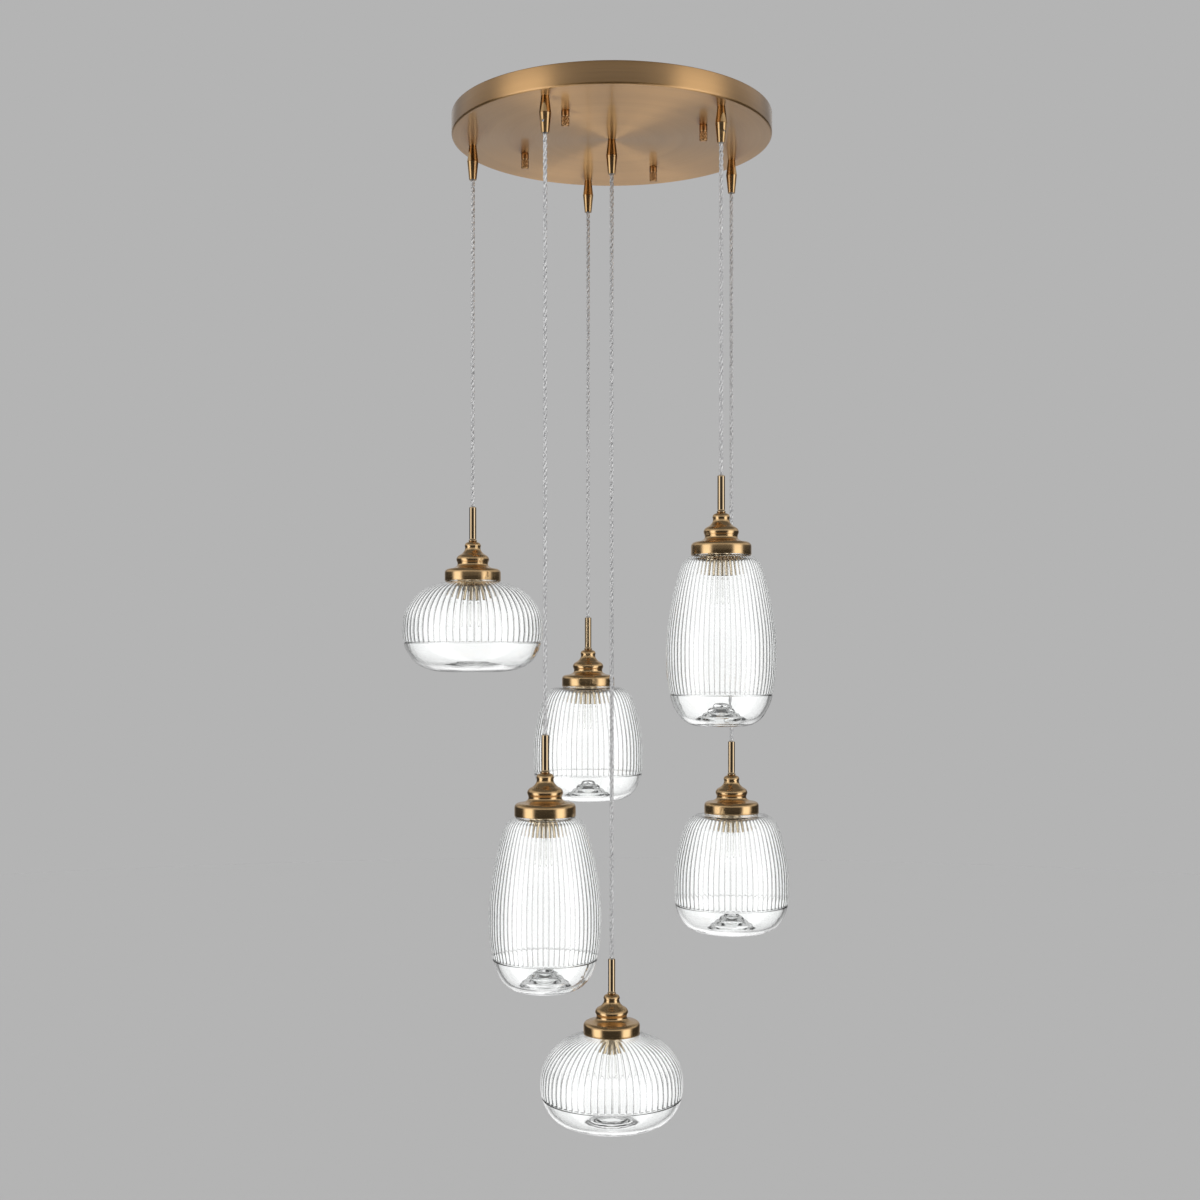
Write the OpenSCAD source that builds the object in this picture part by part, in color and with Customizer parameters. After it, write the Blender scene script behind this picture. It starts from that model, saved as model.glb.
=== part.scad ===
// Cluster pendant light: a round brass canopy, and six cables with turned caps and pressed-glass shades.
// The origin is the centre of the ceiling plane, +Z points up, and all six pendants hang below it.
// A pendant's own heights are measured from the plane of its cap's lower rim.

/* [Canopy] */
// Outside diameter of the canopy drum
canopy_d = 450; // [430:5:480]
// Height of the canopy, from the ceiling to its underside
canopy_h = 30; // [28:1:44]
// Sheet thickness of the canopy
canopy_wall = 1.5; // [1:0.1:2.4]
// Outside radius of the canopy's lower edge
canopy_edge_r = 3; // [2.5:0.1:6]

/* [Ceiling bracket] */
// Thickness of the bracket plate
bracket_t = 2; // [1.5:0.1:3]
// Diameter of the bracket's round middle
bracket_plate_d = 150; // [144:2:170]
// Width of each bracket arm
bracket_arm_w = 30; // [20:1:36]
// Diameter of the circle that the four canopy studs stand on
stud_pcd = 280; // [270:2:300]
// Direction of the first stud, in degrees from +X
stud_turn = 63.4; // [60:0.2:67]
// Diameter of a canopy stud
stud_d = 5; // [4:0.5:6]
// Diameter of the circle of ceiling-screw holes
ceiling_pcd = 120; // [114:1:130]
// Diameter of a ceiling-screw hole
ceiling_hole_d = 5.5; // [4.5:0.1:7]
// Diameter of the hole that the supply cable comes through
supply_hole_d = 30; // [20:1:40]

/* [Knurled nuts] */
// Outside diameter of a canopy nut
nut_d = 11; // [9:0.5:14]
// Height of a canopy nut
nut_h = 22; // [18:1:28]
// Height of the smooth upper part of a canopy nut
nut_neck_h = 8.5; // [6:0.5:11]
// How far a stud reaches into its nut
stud_reach = 12; // [8:1:14]

/* [Cord grips] */
// Distance from the canopy's edge to the middle of each outer grip
grip_inset = 25; // [20:1:29]
// Direction of the first outer grip, in degrees from +X
grip_turn = 28; // [26:0.5:30]
// Diameter of a grip where it is widest
grip_d = 16; // [14:0.5:20]
// Diameter of a grip where it meets the canopy
grip_top_d = 10.5; // [10:0.1:12]
// Diameter of a grip at its mouth
grip_mouth_d = 10.5; // [9.5:0.1:12]
// Height of the upper cone of a grip
grip_upper_h = 22; // [18:1:26]
// Height of the lower cone of a grip
grip_lower_h = 26; // [22:1:32]
// Diameter of the threaded spigot through the canopy
spigot_d = 8; // [7.6:0.1:9]
// Width of a lock nut, across its outside
lock_nut_d = 14; // [12:0.5:17]
// Thickness of a lock nut
lock_nut_h = 4; // [3:0.5:5]
// Diameter of a set screw
set_screw_d = 3; // [2:0.5:4]

/* [Cables] */
// Diameter of a cable
cable_d = 6; // [5:0.1:6.6]
// Length of the flexing stretch of a cable below its grip
cable_root_l = 12; // [8:1:20]

/* [Terminal block] */
// Width of the terminal block
block_w = 20; // [16:1:26]
// Length of the terminal block
block_l = 50; // [46:1:60]
// Height of the terminal block
block_h = 15; // [13:0.5:17]
// Distance from the supply hole's edge to the middle of the terminal block
block_gap = 33; // [31:1:38]
// Shift of the terminal block along its own length, from the middle of the canopy
block_shift = 8; // [6:1:10]

/* [Stem] */
// Outside diameter of a stem
stem_d = 10; // [9.4:0.1:11]
// Height of the stem that shows above its cap
stem_h = 49; // [40:1:70]
// Diameter of the stem's threaded lower end
stem_thread_d = 8.4; // [8:0.1:9]

/* [Cap] */
// Diameter of a cap at its lower rim
cap_d = 80; // [77:1:90]
// Height of a cap
cap_h = 56; // [50:1:64]
// Wall thickness of a cap
cap_wall = 1.5; // [1:0.1:2.2]
// Thickness of a cap's top, which the stem and the lampholder clamp between them
cap_top_t = 3; // [2.4:0.1:3.6]

/* [Lampholder] */
// Outside diameter of a lampholder cup
cup_d = 29; // [26:0.5:32]
// How far a lampholder cup reaches below its cap
cup_drop = 28; // [22:1:34]
// Wall thickness of a lampholder cup
cup_wall = 1.2; // [0.8:0.1:1.6]
// Diameter of the threaded hub above the cup
hub_d = 14; // [12:0.5:16]
// Length of a spring arm below its plate
spring_l = 18; // [12:1:24]
// Width of a spring arm, in degrees round the neck
spring_angle = 18; // [10:1:30]
// Depth that the ceramic socket sits back in the cup
socket_inset = 6; // [3:0.5:10]
// Height of a ceramic socket
socket_h = 30; // [24:1:36]

/* [Bulb] */
// Diameter of a bulb's capsule
bulb_d = 14; // [11:0.5:18]
// Height of a bulb below its socket
bulb_h = 44; // [36:1:54]
// Distance between a bulb's two pins
pin_pitch = 9; // [8:0.5:10]
// Diameter of a bulb pin
pin_d = 1.2; // [0.8:0.1:1.6]

/* [Glass] */
// Greatest diameter of a low round shade
squat_d = 201; // [185:1:206]
// Height of a low round shade
squat_h = 130; // [118:1:150]
// Greatest diameter of a tall shade
tall_d = 147; // [136:1:160]
// Height of a tall shade
tall_h = 226; // [200:1:240]
// Greatest diameter of a medium shade
medium_d = 169; // [155:1:175]
// Height of a medium shade
medium_h = 175; // [160:1:190]
// Wall thickness of the glass
glass_wall = 5; // [3.5:0.1:6.5]
// Outside diameter of the neck inside the cap
neck_d = 68; // [62:1:70]
// Wall thickness of the neck
neck_wall = 4; // [3:0.1:5]
// Height of the neck inside the cap
neck_h = 10; // [8:0.2:10.6]
// Height of the clear foot below the ring line
foot_h = 42; // [36:1:50]
// Depth of the ring line
ring_groove = 0.8; // [0.4:0.1:1.4]
// Radius of the kick-up where it leaves the floor
kick_r = 33; // [28:1:36]
// Height of the kick-up above the floor of a tall or medium glass
kick_h = 25; // [18:1:30]
// Height of the kick-up above the floor of a squat glass
low_kick_h = 6; // [4:0.5:9]

/* [Clearances] */
// Radial clearance of a screw, stud or spigot in its hole
fit_gap = 0.1; // [0.05:0.01:0.2]
// Radial clearance of a cable in a bore
cable_gap = 0.2; // [0.1:0.05:0.3]
// Gap between two pieces that move on each other
body_gap = 0.3; // [0.25:0.01:0.4]
// Gap at each end of the flexing stretch of cable
flex_gap = 0.4; // [0.38:0.01:0.6]

/* [Hidden] */
$fn = 48;
eps = 0.01;
// How far the tool that cuts a hole runs past the faces on both sides of it.
cut_over = 1;
tube_sides = 12;
curve_steps = 3;

// The bench order of the pendants: the five of the ring, then their heights and shades as they hang.
pendant_count = 6;
outer_count = 5;
centre_pendant = 3;
// Place of each pendant in the ring, in fifths of a turn. The centre one has none.
ring_place = [2, 3, 1, 0, 4, 0];
shade_kind = ["squat", "tall", "medium", "squat", "tall", "medium"];

// The cables' routes: distance of each point below the grip's mouth, straight down from it.
cable_falls = [
    [12, 60, 110, 160, 210, 260, 310, 360, 410, 467],
    [12, 80, 150, 220, 290, 360, 430, 500, 570, 640, 710, 781],
    [12, 70, 130, 190, 250, 310, 370, 430, 490, 550, 621],
    [12, 100, 190, 280, 370, 460, 550, 640, 730, 820, 910, 1010, 1106],
    [12, 60, 110, 160, 210, 260, 310, 350, 400, 440],
    [12, 80, 150, 220, 290, 360, 430, 500, 570, 640, 720, 805]
];

// Outlines. A shade's points are shares of its greatest radius and of its height, from the cap's rim
// to the foot.
squat_outline = [[0.50, 0.028], [0.64, 0.07], [0.78, 0.142], [0.90, 0.25], [0.975, 0.37], [1, 0.50],
    [0.998, 0.60], [0.965, 0.72], [0.89, 0.835], [0.77, 0.925], [0.60, 0.98], [0.42, 1]];
tall_outline = [[0.59, 0.012], [0.68, 0.036], [0.755, 0.09], [0.85, 0.20], [0.93, 0.33], [0.985, 0.46],
    [1, 0.58], [0.985, 0.70], [0.93, 0.81], [0.86, 0.885], [0.74, 0.95], [0.60, 0.985], [0.46, 1]];
medium_outline = [[0.53, 0.008], [0.65, 0.02], [0.75, 0.06], [0.84, 0.14], [0.92, 0.27], [0.98, 0.42],
    [1, 0.56], [0.995, 0.70], [0.96, 0.80], [0.89, 0.88], [0.78, 0.945], [0.62, 0.985], [0.45, 1]];
// The cap above its straight rim, as shares of the rim's radius and of the cap's height.
cap_outline = [[0.76, 0.318], [0.655, 0.34], [0.565, 0.385], [0.545, 0.445], [0.585, 0.545], [0.53, 0.63],
    [0.39, 0.695], [0.295, 0.775], [0.275, 0.845], [0.29, 0.895], [0.255, 0.955], [0.18, 0.985]];
cap_rim_share = 0.2;
cap_edge_share = 0.15;

bore_d = cable_d + 2 * cable_gap;
grip_ring_r = canopy_d / 2 - grip_inset;

// Small details: thread above a lock nut, a stud's collar, a nut's groove and rounded end, a grip's edge.
thread_over = 2;
collar_w = 1.5;
collar_t = 2;
collar_d = stud_d + 2 * collar_w;
nut_groove = 1.2;
nut_edge_r = 2;
grip_edge = 0.5;
// Height of the terminal block's bores, as a share of the block, down from the bracket.
bore_share = 0.55;
// A set screw's place down the lower cone, how deep its head sits, and how deep its hexagon goes.
screw_share = 0.45;
screw_sink = 0.7;
hexagon_depth = 1.2;
slot_w = 1;
slot_depth = 1;

// Heights along Z.
underside_z = -canopy_h;
floor_z = underside_z + canopy_wall;
spigot_top_z = floor_z + lock_nut_h + thread_over;
widest_z = underside_z - grip_upper_h;
mouth_z = widest_z - grip_lower_h;
sway_x_z = mouth_z - flex_gap / 2;
sway_y_z = mouth_z - cable_root_l + flex_gap / 2;
screw_z = widest_z - grip_lower_h * screw_share;
lead_z = -bracket_t - block_h * bore_share;
lead_bend_r = lead_z - spigot_top_z;
stud_tip_z = underside_z - stud_reach;

// The terminal block hangs beside the middle grip, and each lead enters it at its own share of the block.
block_at = [supply_hole_d / 2 + block_gap, block_shift];
entry_share = [[-0.5, 0.34], [-0.5, -0.34], [0, 0.5], [-0.5, 0], [0.5, -0.26], [0.5, 0.24]];
entry_depth = 5;
terminal_screw_d = 3.6;
terminal_screw_h = block_h * (1 - bore_share) - bore_d / 2;
earth_at = [-48, 20];
earth_head_d = 9;
earth_head_h = 4;
earth_d = 4;

// A pendant's own parts, measured from its cap's rim.
plate_z = neck_h + body_gap;
plate_t = 1;
plate_over = 1;
cup_top_z = 30;
cup_roof_t = 2;
hub_shoulder_h = 4;
hub_top_z = cap_h - cap_top_t - eps;
// Small steps of a cap: its collar round the stem, its flat ceiling round the hub, and where its wall ends.
collar_over = 0.6;
ceiling_over = 0.7;
wall_trim = 0.2;
stem_edge = 0.5;
stem_foot_z = cup_top_z + cup_roof_t;
socket_z = socket_inset - cup_drop;
socket_d = cup_d - 2 * cup_wall - 2 * body_gap;
neck_bore_r = neck_d / 2 - neck_wall;
pin_l = 8;
bulb_base = [bulb_d * 0.8, bulb_d * 0.4, 9];
bulb_shoulder_h = 4;
bulb_shoulder_w = 2;
pinch_over = 1;
pin_end_gap = 0.4;
kick_steps = 4;
low_kick_steps = 2;
// Shares of a step: the flat peak's width beside the steps, where a slope ends, and the peak's radius.
kick_peak = 0.6;
low_kick_peak = 1.45;
kick_slope = [0.3, 0.75];
kick_top = 0.12;
// The foot's underside: a ring to stand on, and a hollow up under the kick-up.
foot_ring_w = 3;
foot_slope = [2, 1.5];
// A shade's shoulder: its lip under the cap, and how far outside the neck's bore its inner curve starts.
lip = [1, 0.2];
neck_bend_w = 2;
foot_hollow_share = 0.8;

// Where things are.
function grip_angle(i) = i == centre_pendant ? 90 : grip_turn + 360 / outer_count * ring_place[i];
function grip_r(i) = i == centre_pendant ? 0 : grip_ring_r;
function grip_xy(i) = grip_r(i) * [cos(grip_turn + 360 / outer_count * ring_place[i]),
    sin(grip_turn + 360 / outer_count * ring_place[i])];
function last(list) = list[len(list) - 1];
function cable_end_z(i) = mouth_z - last(cable_falls[i]);
function rim_z(i) = cable_end_z(i) - body_gap - stem_h - cap_h;
function cable_route(i) = [for (fall = cable_falls[i])
    [grip_xy(i).x, grip_xy(i).y, mouth_z - (fall == cable_falls[i][0] ? cable_root_l : fall)]];
function entry_xy(i) = block_at + [entry_share[i].x * block_w, entry_share[i].y * block_l];
function by_shade(i, squat, tall, medium) =
    shade_kind[i] == "squat" ? squat : shade_kind[i] == "tall" ? tall : medium;
function shade_r(i) = by_shade(i, squat_d, tall_d, medium_d) / 2;
function shade_h(i) = by_shade(i, squat_h, tall_h, medium_h);
function shade_outline(i) = by_shade(i, squat_outline, tall_outline, medium_outline);
function kick_height(i) = by_shade(i, low_kick_h, kick_h, kick_h);
function kick_count(i) = by_shade(i, low_kick_steps, kick_steps, kick_steps);
function kick_span(i) = kick_count(i) + by_shade(i, low_kick_peak, kick_peak, kick_peak);

// A smooth curve through points: each span is a cubic whose slope at a point is set by its neighbours.
function span_point(a, b, c, d, t) = 0.5 * (2 * b + (c - a) * t + (2 * a - 5 * b + 4 * c - d) * t * t
    + (3 * b - a - 3 * c + d) * t * t * t);
function smooth(p, n) = concat(
    [for (i = [0:len(p) - 2]) for (k = [0:n - 1])
        span_point(p[max(i - 1, 0)], p[i], p[i + 1], p[min(i + 2, len(p) - 1)], k / n)],
    [last(p)]);
// The same curve moved inwards, square to itself, by a wall.
function inwards(p, wall) = [for (i = [0:len(p) - 1])
    let (way = p[min(i + 1, len(p) - 1)] - p[max(i - 1, 0)])
    p[i] + wall * [way.y, -way.x] / norm(way)];
function reversed(p) = [for (i = [len(p) - 1:-1:0]) p[i]];
function arc(centre, r, from, to, n) = [for (k = [0:n]) centre + r * [cos(from + (to - from) * k / n),
    sin(from + (to - from) * k / n)]];

// The outside of a shade: a gap under the cap's rim, out over the shoulder and down to the foot.
function shade_curve(i) = concat([[neck_d / 2, -body_gap], [cap_d / 2 - lip.x, -body_gap - lip.y]],
    smooth([for (p = shade_outline(i)) [p.x * shade_r(i), -p.y * shade_h(i)]], curve_steps));
function shade_radius_at(i, z) = lookup(z, [for (p = shade_curve(i)) [p.y, p.x]]);
// The stepped cone in a shade's floor: each step is a steep short slope and a gentle tread.
function kick_curve(h, steps, span, base_z) = concat(
    [for (k = [0:steps - 1]) each [
        [kick_r * (1 - k / span), base_z + h * k / steps],
        [kick_r * (1 - (k + kick_slope.x) / span), base_z + h * (k + kick_slope.y) / steps]]],
    [[kick_r * kick_top, base_z + h], [0, base_z + h]]);

// A tube round a route of points that runs straight up or down: one ring of corners at each point.
module cable_tube(route) {
    rings = len(route);
    corners = [for (p = route) for (k = [0:tube_sides - 1])
        p + cable_d / 2 * [cos(360 * k / tube_sides), sin(360 * k / tube_sides), 0]];
    walls = [for (i = [0:rings - 2]) for (k = [0:tube_sides - 1])
        [i * tube_sides + k, (i + 1) * tube_sides + k,
            (i + 1) * tube_sides + (k + 1) % tube_sides, i * tube_sides + (k + 1) % tube_sides]];
    top = [for (k = [0:tube_sides - 1]) k];
    bottom = [for (k = [tube_sides - 1:-1:0]) (rings - 1) * tube_sides + k];
    polyhedron(corners, concat([top], walls, [bottom]));
}

module at_grip(i) {
    translate([grip_xy(i).x, grip_xy(i).y, 0]) children();
}

module at_pendant(i) {
    translate([grip_xy(i).x, grip_xy(i).y, rim_z(i)]) children();
}

module at_studs() {
    for (k = [0:3]) rotate(stud_turn + 90 * k) translate([stud_pcd / 2, 0, 0]) children();
}

// Canopy: a spun drum, open to the ceiling, with holes for the six spigots and the four studs.
module canopy_shell() {
    r = canopy_d / 2;
    e = canopy_edge_r;
    color("#b08850") difference() {
        rotate_extrude() polygon(concat(
            [[0, underside_z]],
            arc([r - e, underside_z + e], e, -90, 0, 4),
            [[r, 0], [r - canopy_wall, 0]],
            arc([r - e, underside_z + e], e - canopy_wall, 0, -90, 4),
            [[0, floor_z]]));
        for (i = [0:pendant_count - 1])
            at_grip(i) translate([0, 0, underside_z - cut_over])
                cylinder(d = spigot_d + 2 * fit_gap, h = canopy_wall + 2 * cut_over);
        at_studs() translate([0, 0, underside_z - cut_over])
            cylinder(d = stud_d + 4 * fit_gap, h = canopy_wall + 2 * cut_over);
    }
}

// Bracket: a round plate with four arms, screwed flat to the ceiling.
module ceiling_bracket() {
    color("#a9adb0") difference() {
        union() {
            translate([0, 0, -bracket_t]) cylinder(d = bracket_plate_d, h = bracket_t);
            for (k = [0:1]) rotate(stud_turn + 90 * k)
                translate([-stud_pcd / 2, -bracket_arm_w / 2, -bracket_t])
                    cube([stud_pcd, bracket_arm_w, bracket_t]);
            at_studs() translate([0, 0, -bracket_t]) cylinder(d = bracket_arm_w, h = bracket_t);
        }
        translate([0, 0, -bracket_t - cut_over]) {
            cylinder(d = supply_hole_d, h = bracket_t + 2 * cut_over);
            for (k = [0:3]) rotate(stud_turn + 90 * k) translate([ceiling_pcd / 2, 0, 0])
                cylinder(d = ceiling_hole_d, h = bracket_t + 2 * cut_over);
            at_studs() cylinder(d = stud_d + 2 * fit_gap, h = bracket_t + 2 * cut_over);
            translate([earth_at.x, earth_at.y, 0])
                cylinder(d = earth_d + 2 * fit_gap, h = bracket_t + 2 * cut_over);
        }
    }
}

// Studs: pressed into the bracket's arms, with a collar under the plate, and reaching into the nuts.
module bracket_studs() {
    color("#c2c4c6") at_studs() {
        translate([0, 0, stud_tip_z]) cylinder(d = stud_d, h = -stud_tip_z);
        translate([0, 0, -bracket_t - collar_t]) cylinder(d = collar_d, h = collar_t);
    }
}

// Nuts: a smooth neck, a groove and a knurled grip with a rounded end, blind from below.
module knurled_nuts() {
    r = nut_d / 2;
    bore = stud_d / 2 + fit_gap;
    waist = r - nut_groove;
    color("#b8873f") at_studs() translate([0, 0, underside_z]) rotate_extrude() polygon(concat(
        [[bore, 0], [r, 0], [r, -nut_neck_h], [waist, -nut_neck_h - nut_groove / 4],
            [waist, -nut_neck_h - nut_groove], [r, -nut_neck_h - nut_groove * 1.25]],
        arc([r - nut_edge_r, nut_edge_r - nut_h], nut_edge_r, 0, -90, 3),
        [[0, -nut_h], [0, -stud_reach - fit_gap], [bore, -stud_reach - fit_gap]]));
}

// Grips: two cones, base to base, bored for the cable, with a spigot through the canopy.
module cord_grips() {
    for (i = [0:pendant_count - 1]) color("#b8873f") at_grip(i) difference() {
        rotate_extrude() polygon([
            [bore_d / 2, mouth_z], [grip_mouth_d / 2, mouth_z],
            [grip_d / 2 - 0.1, widest_z - grip_edge], [grip_d / 2 - grip_edge, widest_z - grip_edge / 2],
            [grip_d / 2, widest_z],
            [grip_top_d / 2, underside_z], [spigot_d / 2, underside_z], [spigot_d / 2, spigot_top_z],
            [bore_d / 2, spigot_top_z]]);
        translate([0, 0, screw_z]) rotate(grip_angle(i)) rotate([0, 90, 0])
            cylinder(d = set_screw_d + 2 * fit_gap, h = grip_d);
    }
}

module grip_lock_nuts() {
    color("#c2c4c6") for (i = [0:pendant_count - 1]) at_grip(i) translate([0, 0, floor_z]) difference() {
        cylinder(d = lock_nut_d, h = lock_nut_h, $fn = 6);
        translate([0, 0, -cut_over]) cylinder(d = spigot_d + 2 * fit_gap, h = lock_nut_h + 2 * cut_over);
    }
}

// Set screws: one in each lower cone, pointing outwards from the canopy's middle, with a hexagon socket.
module grip_set_screws() {
    reach = grip_d / 2 - (grip_d - grip_mouth_d) / 2 * screw_share - screw_sink;
    tip = cable_d / 2 + fit_gap;
    color("#7d7f82") for (i = [0:pendant_count - 1])
        at_grip(i) translate([0, 0, screw_z]) rotate(grip_angle(i)) difference() {
            translate([tip, 0, 0]) rotate([0, 90, 0]) cylinder(d = set_screw_d, h = reach - tip);
            translate([reach - hexagon_depth, 0, 0]) rotate([0, 90, 0])
                cylinder(d = set_screw_d / 2, h = hexagon_depth + cut_over, $fn = 6);
        }
}

// The line that a lead takes from its bend to its place in the terminal block.
module along_lead(i) {
    way = entry_xy(i) - grip_xy(i);
    at_grip(i) rotate(atan2(way.y, way.x)) children();
}

function lead_run(i) = norm(entry_xy(i) - grip_xy(i)) + entry_depth;

module terminal_block() {
    color("#f1efe8") difference() {
        translate([block_at.x - block_w / 2, block_at.y - block_l / 2, -bracket_t - block_h])
            cube([block_w, block_l, block_h]);
        for (i = [0:pendant_count - 1]) {
            along_lead(i) translate([lead_bend_r, 0, lead_z]) rotate([0, 90, 0])
                cylinder(d = bore_d, h = lead_run(i) - lead_bend_r + cable_gap);
            translate([terminal_screw_xy(i).x, terminal_screw_xy(i).y, -bracket_t - block_h - cut_over])
                cylinder(d = terminal_screw_d + 2 * fit_gap, h = terminal_screw_h + cut_over);
        }
    }
}

// Each clamping screw stands a little further into the block than its lead reaches.
function terminal_screw_xy(i) = block_at
    + [entry_share[i].x * block_w * 0.3, entry_share[i].y * block_l * 0.85];

module terminal_screws() {
    color("#c9a24d") for (i = [0:pendant_count - 1])
        translate([terminal_screw_xy(i).x, terminal_screw_xy(i).y, -bracket_t - block_h])
            difference() {
                cylinder(d = terminal_screw_d, h = terminal_screw_h - fit_gap);
                translate([-terminal_screw_d, -slot_w / 2, -slot_depth])
                    cube([2 * terminal_screw_d, slot_w, 2 * slot_depth]);
            }
}

module earth_terminal() {
    color("#5f9b52") translate([earth_at.x, earth_at.y, 0]) {
        translate([0, 0, -bracket_t]) cylinder(d = earth_d, h = bracket_t);
        translate([0, 0, -bracket_t - earth_head_h]) difference() {
            cylinder(d = earth_head_d, h = earth_head_h);
            translate([-earth_head_d, -slot_w / 2, -slot_depth])
                cube([2 * earth_head_d, slot_w, 2 * slot_depth]);
        }
    }
}

// Leads: each cable from its grip's mouth up through the bore, round a bend and along to the terminal block.
module inner_leads() {
    turn_z = lead_z - lead_bend_r;
    color("#dfe3e6") for (i = [0:pendant_count - 1]) along_lead(i) {
        translate([0, 0, mouth_z]) cylinder(d = cable_d, h = turn_z - mouth_z);
        translate([lead_bend_r, 0, turn_z]) rotate([90, 0, 180]) rotate_extrude(angle = 90)
            translate([lead_bend_r, 0]) circle(d = cable_d);
        translate([lead_bend_r, 0, lead_z]) rotate([0, 90, 0])
            cylinder(d = cable_d, h = lead_run(i) - lead_bend_r);
    }
}

// The first stretch of cable below the grip, which takes the bend when the pendant sways.
module cable_root(i) {
    color("#dfe3e6") at_grip(i) translate([0, 0, mouth_z - cable_root_l + flex_gap])
        cylinder(d = cable_d, h = cable_root_l - 2 * flex_gap);
}

module cable(i) {
    color("#dfe3e6") cable_tube(cable_route(i));
}

// Stem: a tube with a shoulder on the cap and a thread down into the lampholder's hub.
module stem(i) {
    top = cap_h + stem_h;
    color("#c79a50") at_pendant(i) rotate_extrude() polygon([
        [bore_d / 2, stem_foot_z], [stem_thread_d / 2, stem_foot_z], [stem_thread_d / 2, cap_h],
        [stem_d / 2, cap_h], [stem_d / 2, top - stem_edge], [stem_d / 2 - stem_edge, top],
        [bore_d / 2, top]]);
}

// Cap: a turned shell with a straight rim, a waist, a shoulder and a collar round the stem.
function cap_curve() = concat(
    [[cap_d / 2, 0]],
    arc([cap_d / 2 * (1 - cap_edge_share), cap_h * cap_rim_share], cap_d / 2 * cap_edge_share, 0, 90, 4),
    smooth([for (p = cap_outline) [p.x * cap_d / 2, p.y * cap_h]], curve_steps));

module cap(i) {
    outside = cap_curve();
    ceiling = cap_h - cap_top_t;
    hole_r = stem_thread_d / 2 + fit_gap;
    color("#a9803f") at_pendant(i) rotate_extrude() polygon(concat(
        outside,
        [[stem_d / 2 + collar_over, cap_h], [hole_r, cap_h], [hole_r, ceiling],
            [hub_d / 2 + ceiling_over, ceiling]],
        [for (p = inwards(reversed(outside), cap_wall)) if (p.y > wall_trim && p.y < ceiling - wall_trim) p],
        [[cap_d / 2 - cap_wall, 0]]));
}

// Lampholder cup: a brass cup with a hub for the stem, and a plate whose three spring arms hold the neck.
module holder_cup(i) {
    r = cup_d / 2;
    arm_r = neck_bore_r - body_gap;
    color("#c79a50") at_pendant(i) {
        rotate_extrude() polygon([
            [r - cup_wall, -cup_drop], [r, -cup_drop], [r, plate_z],
            [neck_d / 2 + plate_over, plate_z], [neck_d / 2 + plate_over, plate_z + plate_t],
            [r, plate_z + plate_t], [r, cup_top_z], [hub_d / 2, cup_top_z + hub_shoulder_h],
            [hub_d / 2, hub_top_z], [stem_thread_d / 2 + fit_gap, hub_top_z],
            [stem_thread_d / 2 + fit_gap, cup_top_z - cup_roof_t], [r - cup_wall, cup_top_z - cup_roof_t]]);
        for (k = [0:2]) rotate(120 * k - spring_angle / 2) rotate_extrude(angle = spring_angle)
            translate([arm_r - plate_t, plate_z - spring_l]) square([plate_t, spring_l + plate_t / 2]);
    }
}

// Socket: a ceramic block in the cup with two pin holes, and its lead up through the hub and the stem.
module socket(i) {
    color("#f3f1ea") at_pendant(i) difference() {
        union() {
            translate([0, 0, socket_z]) cylinder(d = socket_d, h = socket_h);
            translate([0, 0, socket_z + socket_h - eps])
                cylinder(d = cable_d, h = cap_h + stem_h - socket_z - socket_h + eps);
        }
        for (side = [-1, 1]) translate([side * pin_pitch / 2, 0, socket_z - cut_over])
            cylinder(d = pin_d + 4 * fit_gap, h = pin_l + cut_over + pin_end_gap);
    }
}

// Bulb: a small capsule with a flat pinched base and two pins.
module bulb(i) {
    r = bulb_d / 2;
    tip = socket_z - bulb_h;
    shoulder_z = socket_z - bulb_base.z + pinch_over;
    color("#fff6dc") at_pendant(i) {
        translate([-bulb_base.x / 2, -bulb_base.y / 2, socket_z - bulb_base.z])
            cube([bulb_base.x, bulb_base.y, bulb_base.z]);
        rotate_extrude() polygon(concat(
            [[0, tip]], arc([0, tip + r], r, -75, 0, 4),
            [[r, shoulder_z - bulb_shoulder_h], [r - bulb_shoulder_w, shoulder_z], [0, shoulder_z]]));
        for (side = [-1, 1]) translate([side * pin_pitch / 2, 0, socket_z - eps])
            cylinder(d = pin_d, h = pin_l);
    }
}

// Glass: a pressed shade with a plain neck, a ring line above its foot and a stepped kick-up in its floor.
module glass(i) {
    foot_z = -shade_h(i);
    line_z = foot_z + foot_h;
    outside = shade_curve(i);
    inside = [for (p = inwards(outside, glass_wall)) if (p.x > neck_bore_r + neck_bend_w && p.x > kick_r) p];
    color([0.86, 0.93, 0.95, 0.45]) at_pendant(i) difference() {
        rotate_extrude() polygon(concat(
            [[neck_bore_r, neck_h], [neck_d / 2, neck_h]],
            outside,
            [[kick_r - foot_ring_w, foot_z], [kick_r - foot_ring_w - foot_slope.x, foot_z + foot_slope.y],
                [0, foot_z + kick_height(i) * foot_hollow_share]],
            reversed(kick_curve(kick_height(i), kick_count(i), kick_span(i), foot_z + glass_wall)),
            reversed(inside),
            [[neck_bore_r, -glass_wall]]));
        rotate_extrude() translate([shade_radius_at(i, line_z) + ring_groove * 0.2, line_z])
            circle(r = ring_groove, $fn = 16);
    }
}

canopy_shell();
ceiling_bracket();
bracket_studs();
knurled_nuts();
cord_grips();
grip_lock_nuts();
grip_set_screws();
terminal_block();
terminal_screws();
earth_terminal();
inner_leads();
for (i = [0:pendant_count - 1]) {
    cable_root(i);
    cable(i);
    stem(i);
    cap(i);
    holder_cup(i);
    socket(i);
    bulb(i);
    glass(i);
}
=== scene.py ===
# %% [markdown]
# # A cluster pendant light in brass and ribbed glass
#
# Six glass shades hang at six heights from one round brass canopy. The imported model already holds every
# piece at its true size and place. This notebook dresses it: it builds the fine shapes that show, gives
# each surface its finish, and sets up a small studio. Lengths are in metres.

import math

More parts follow.
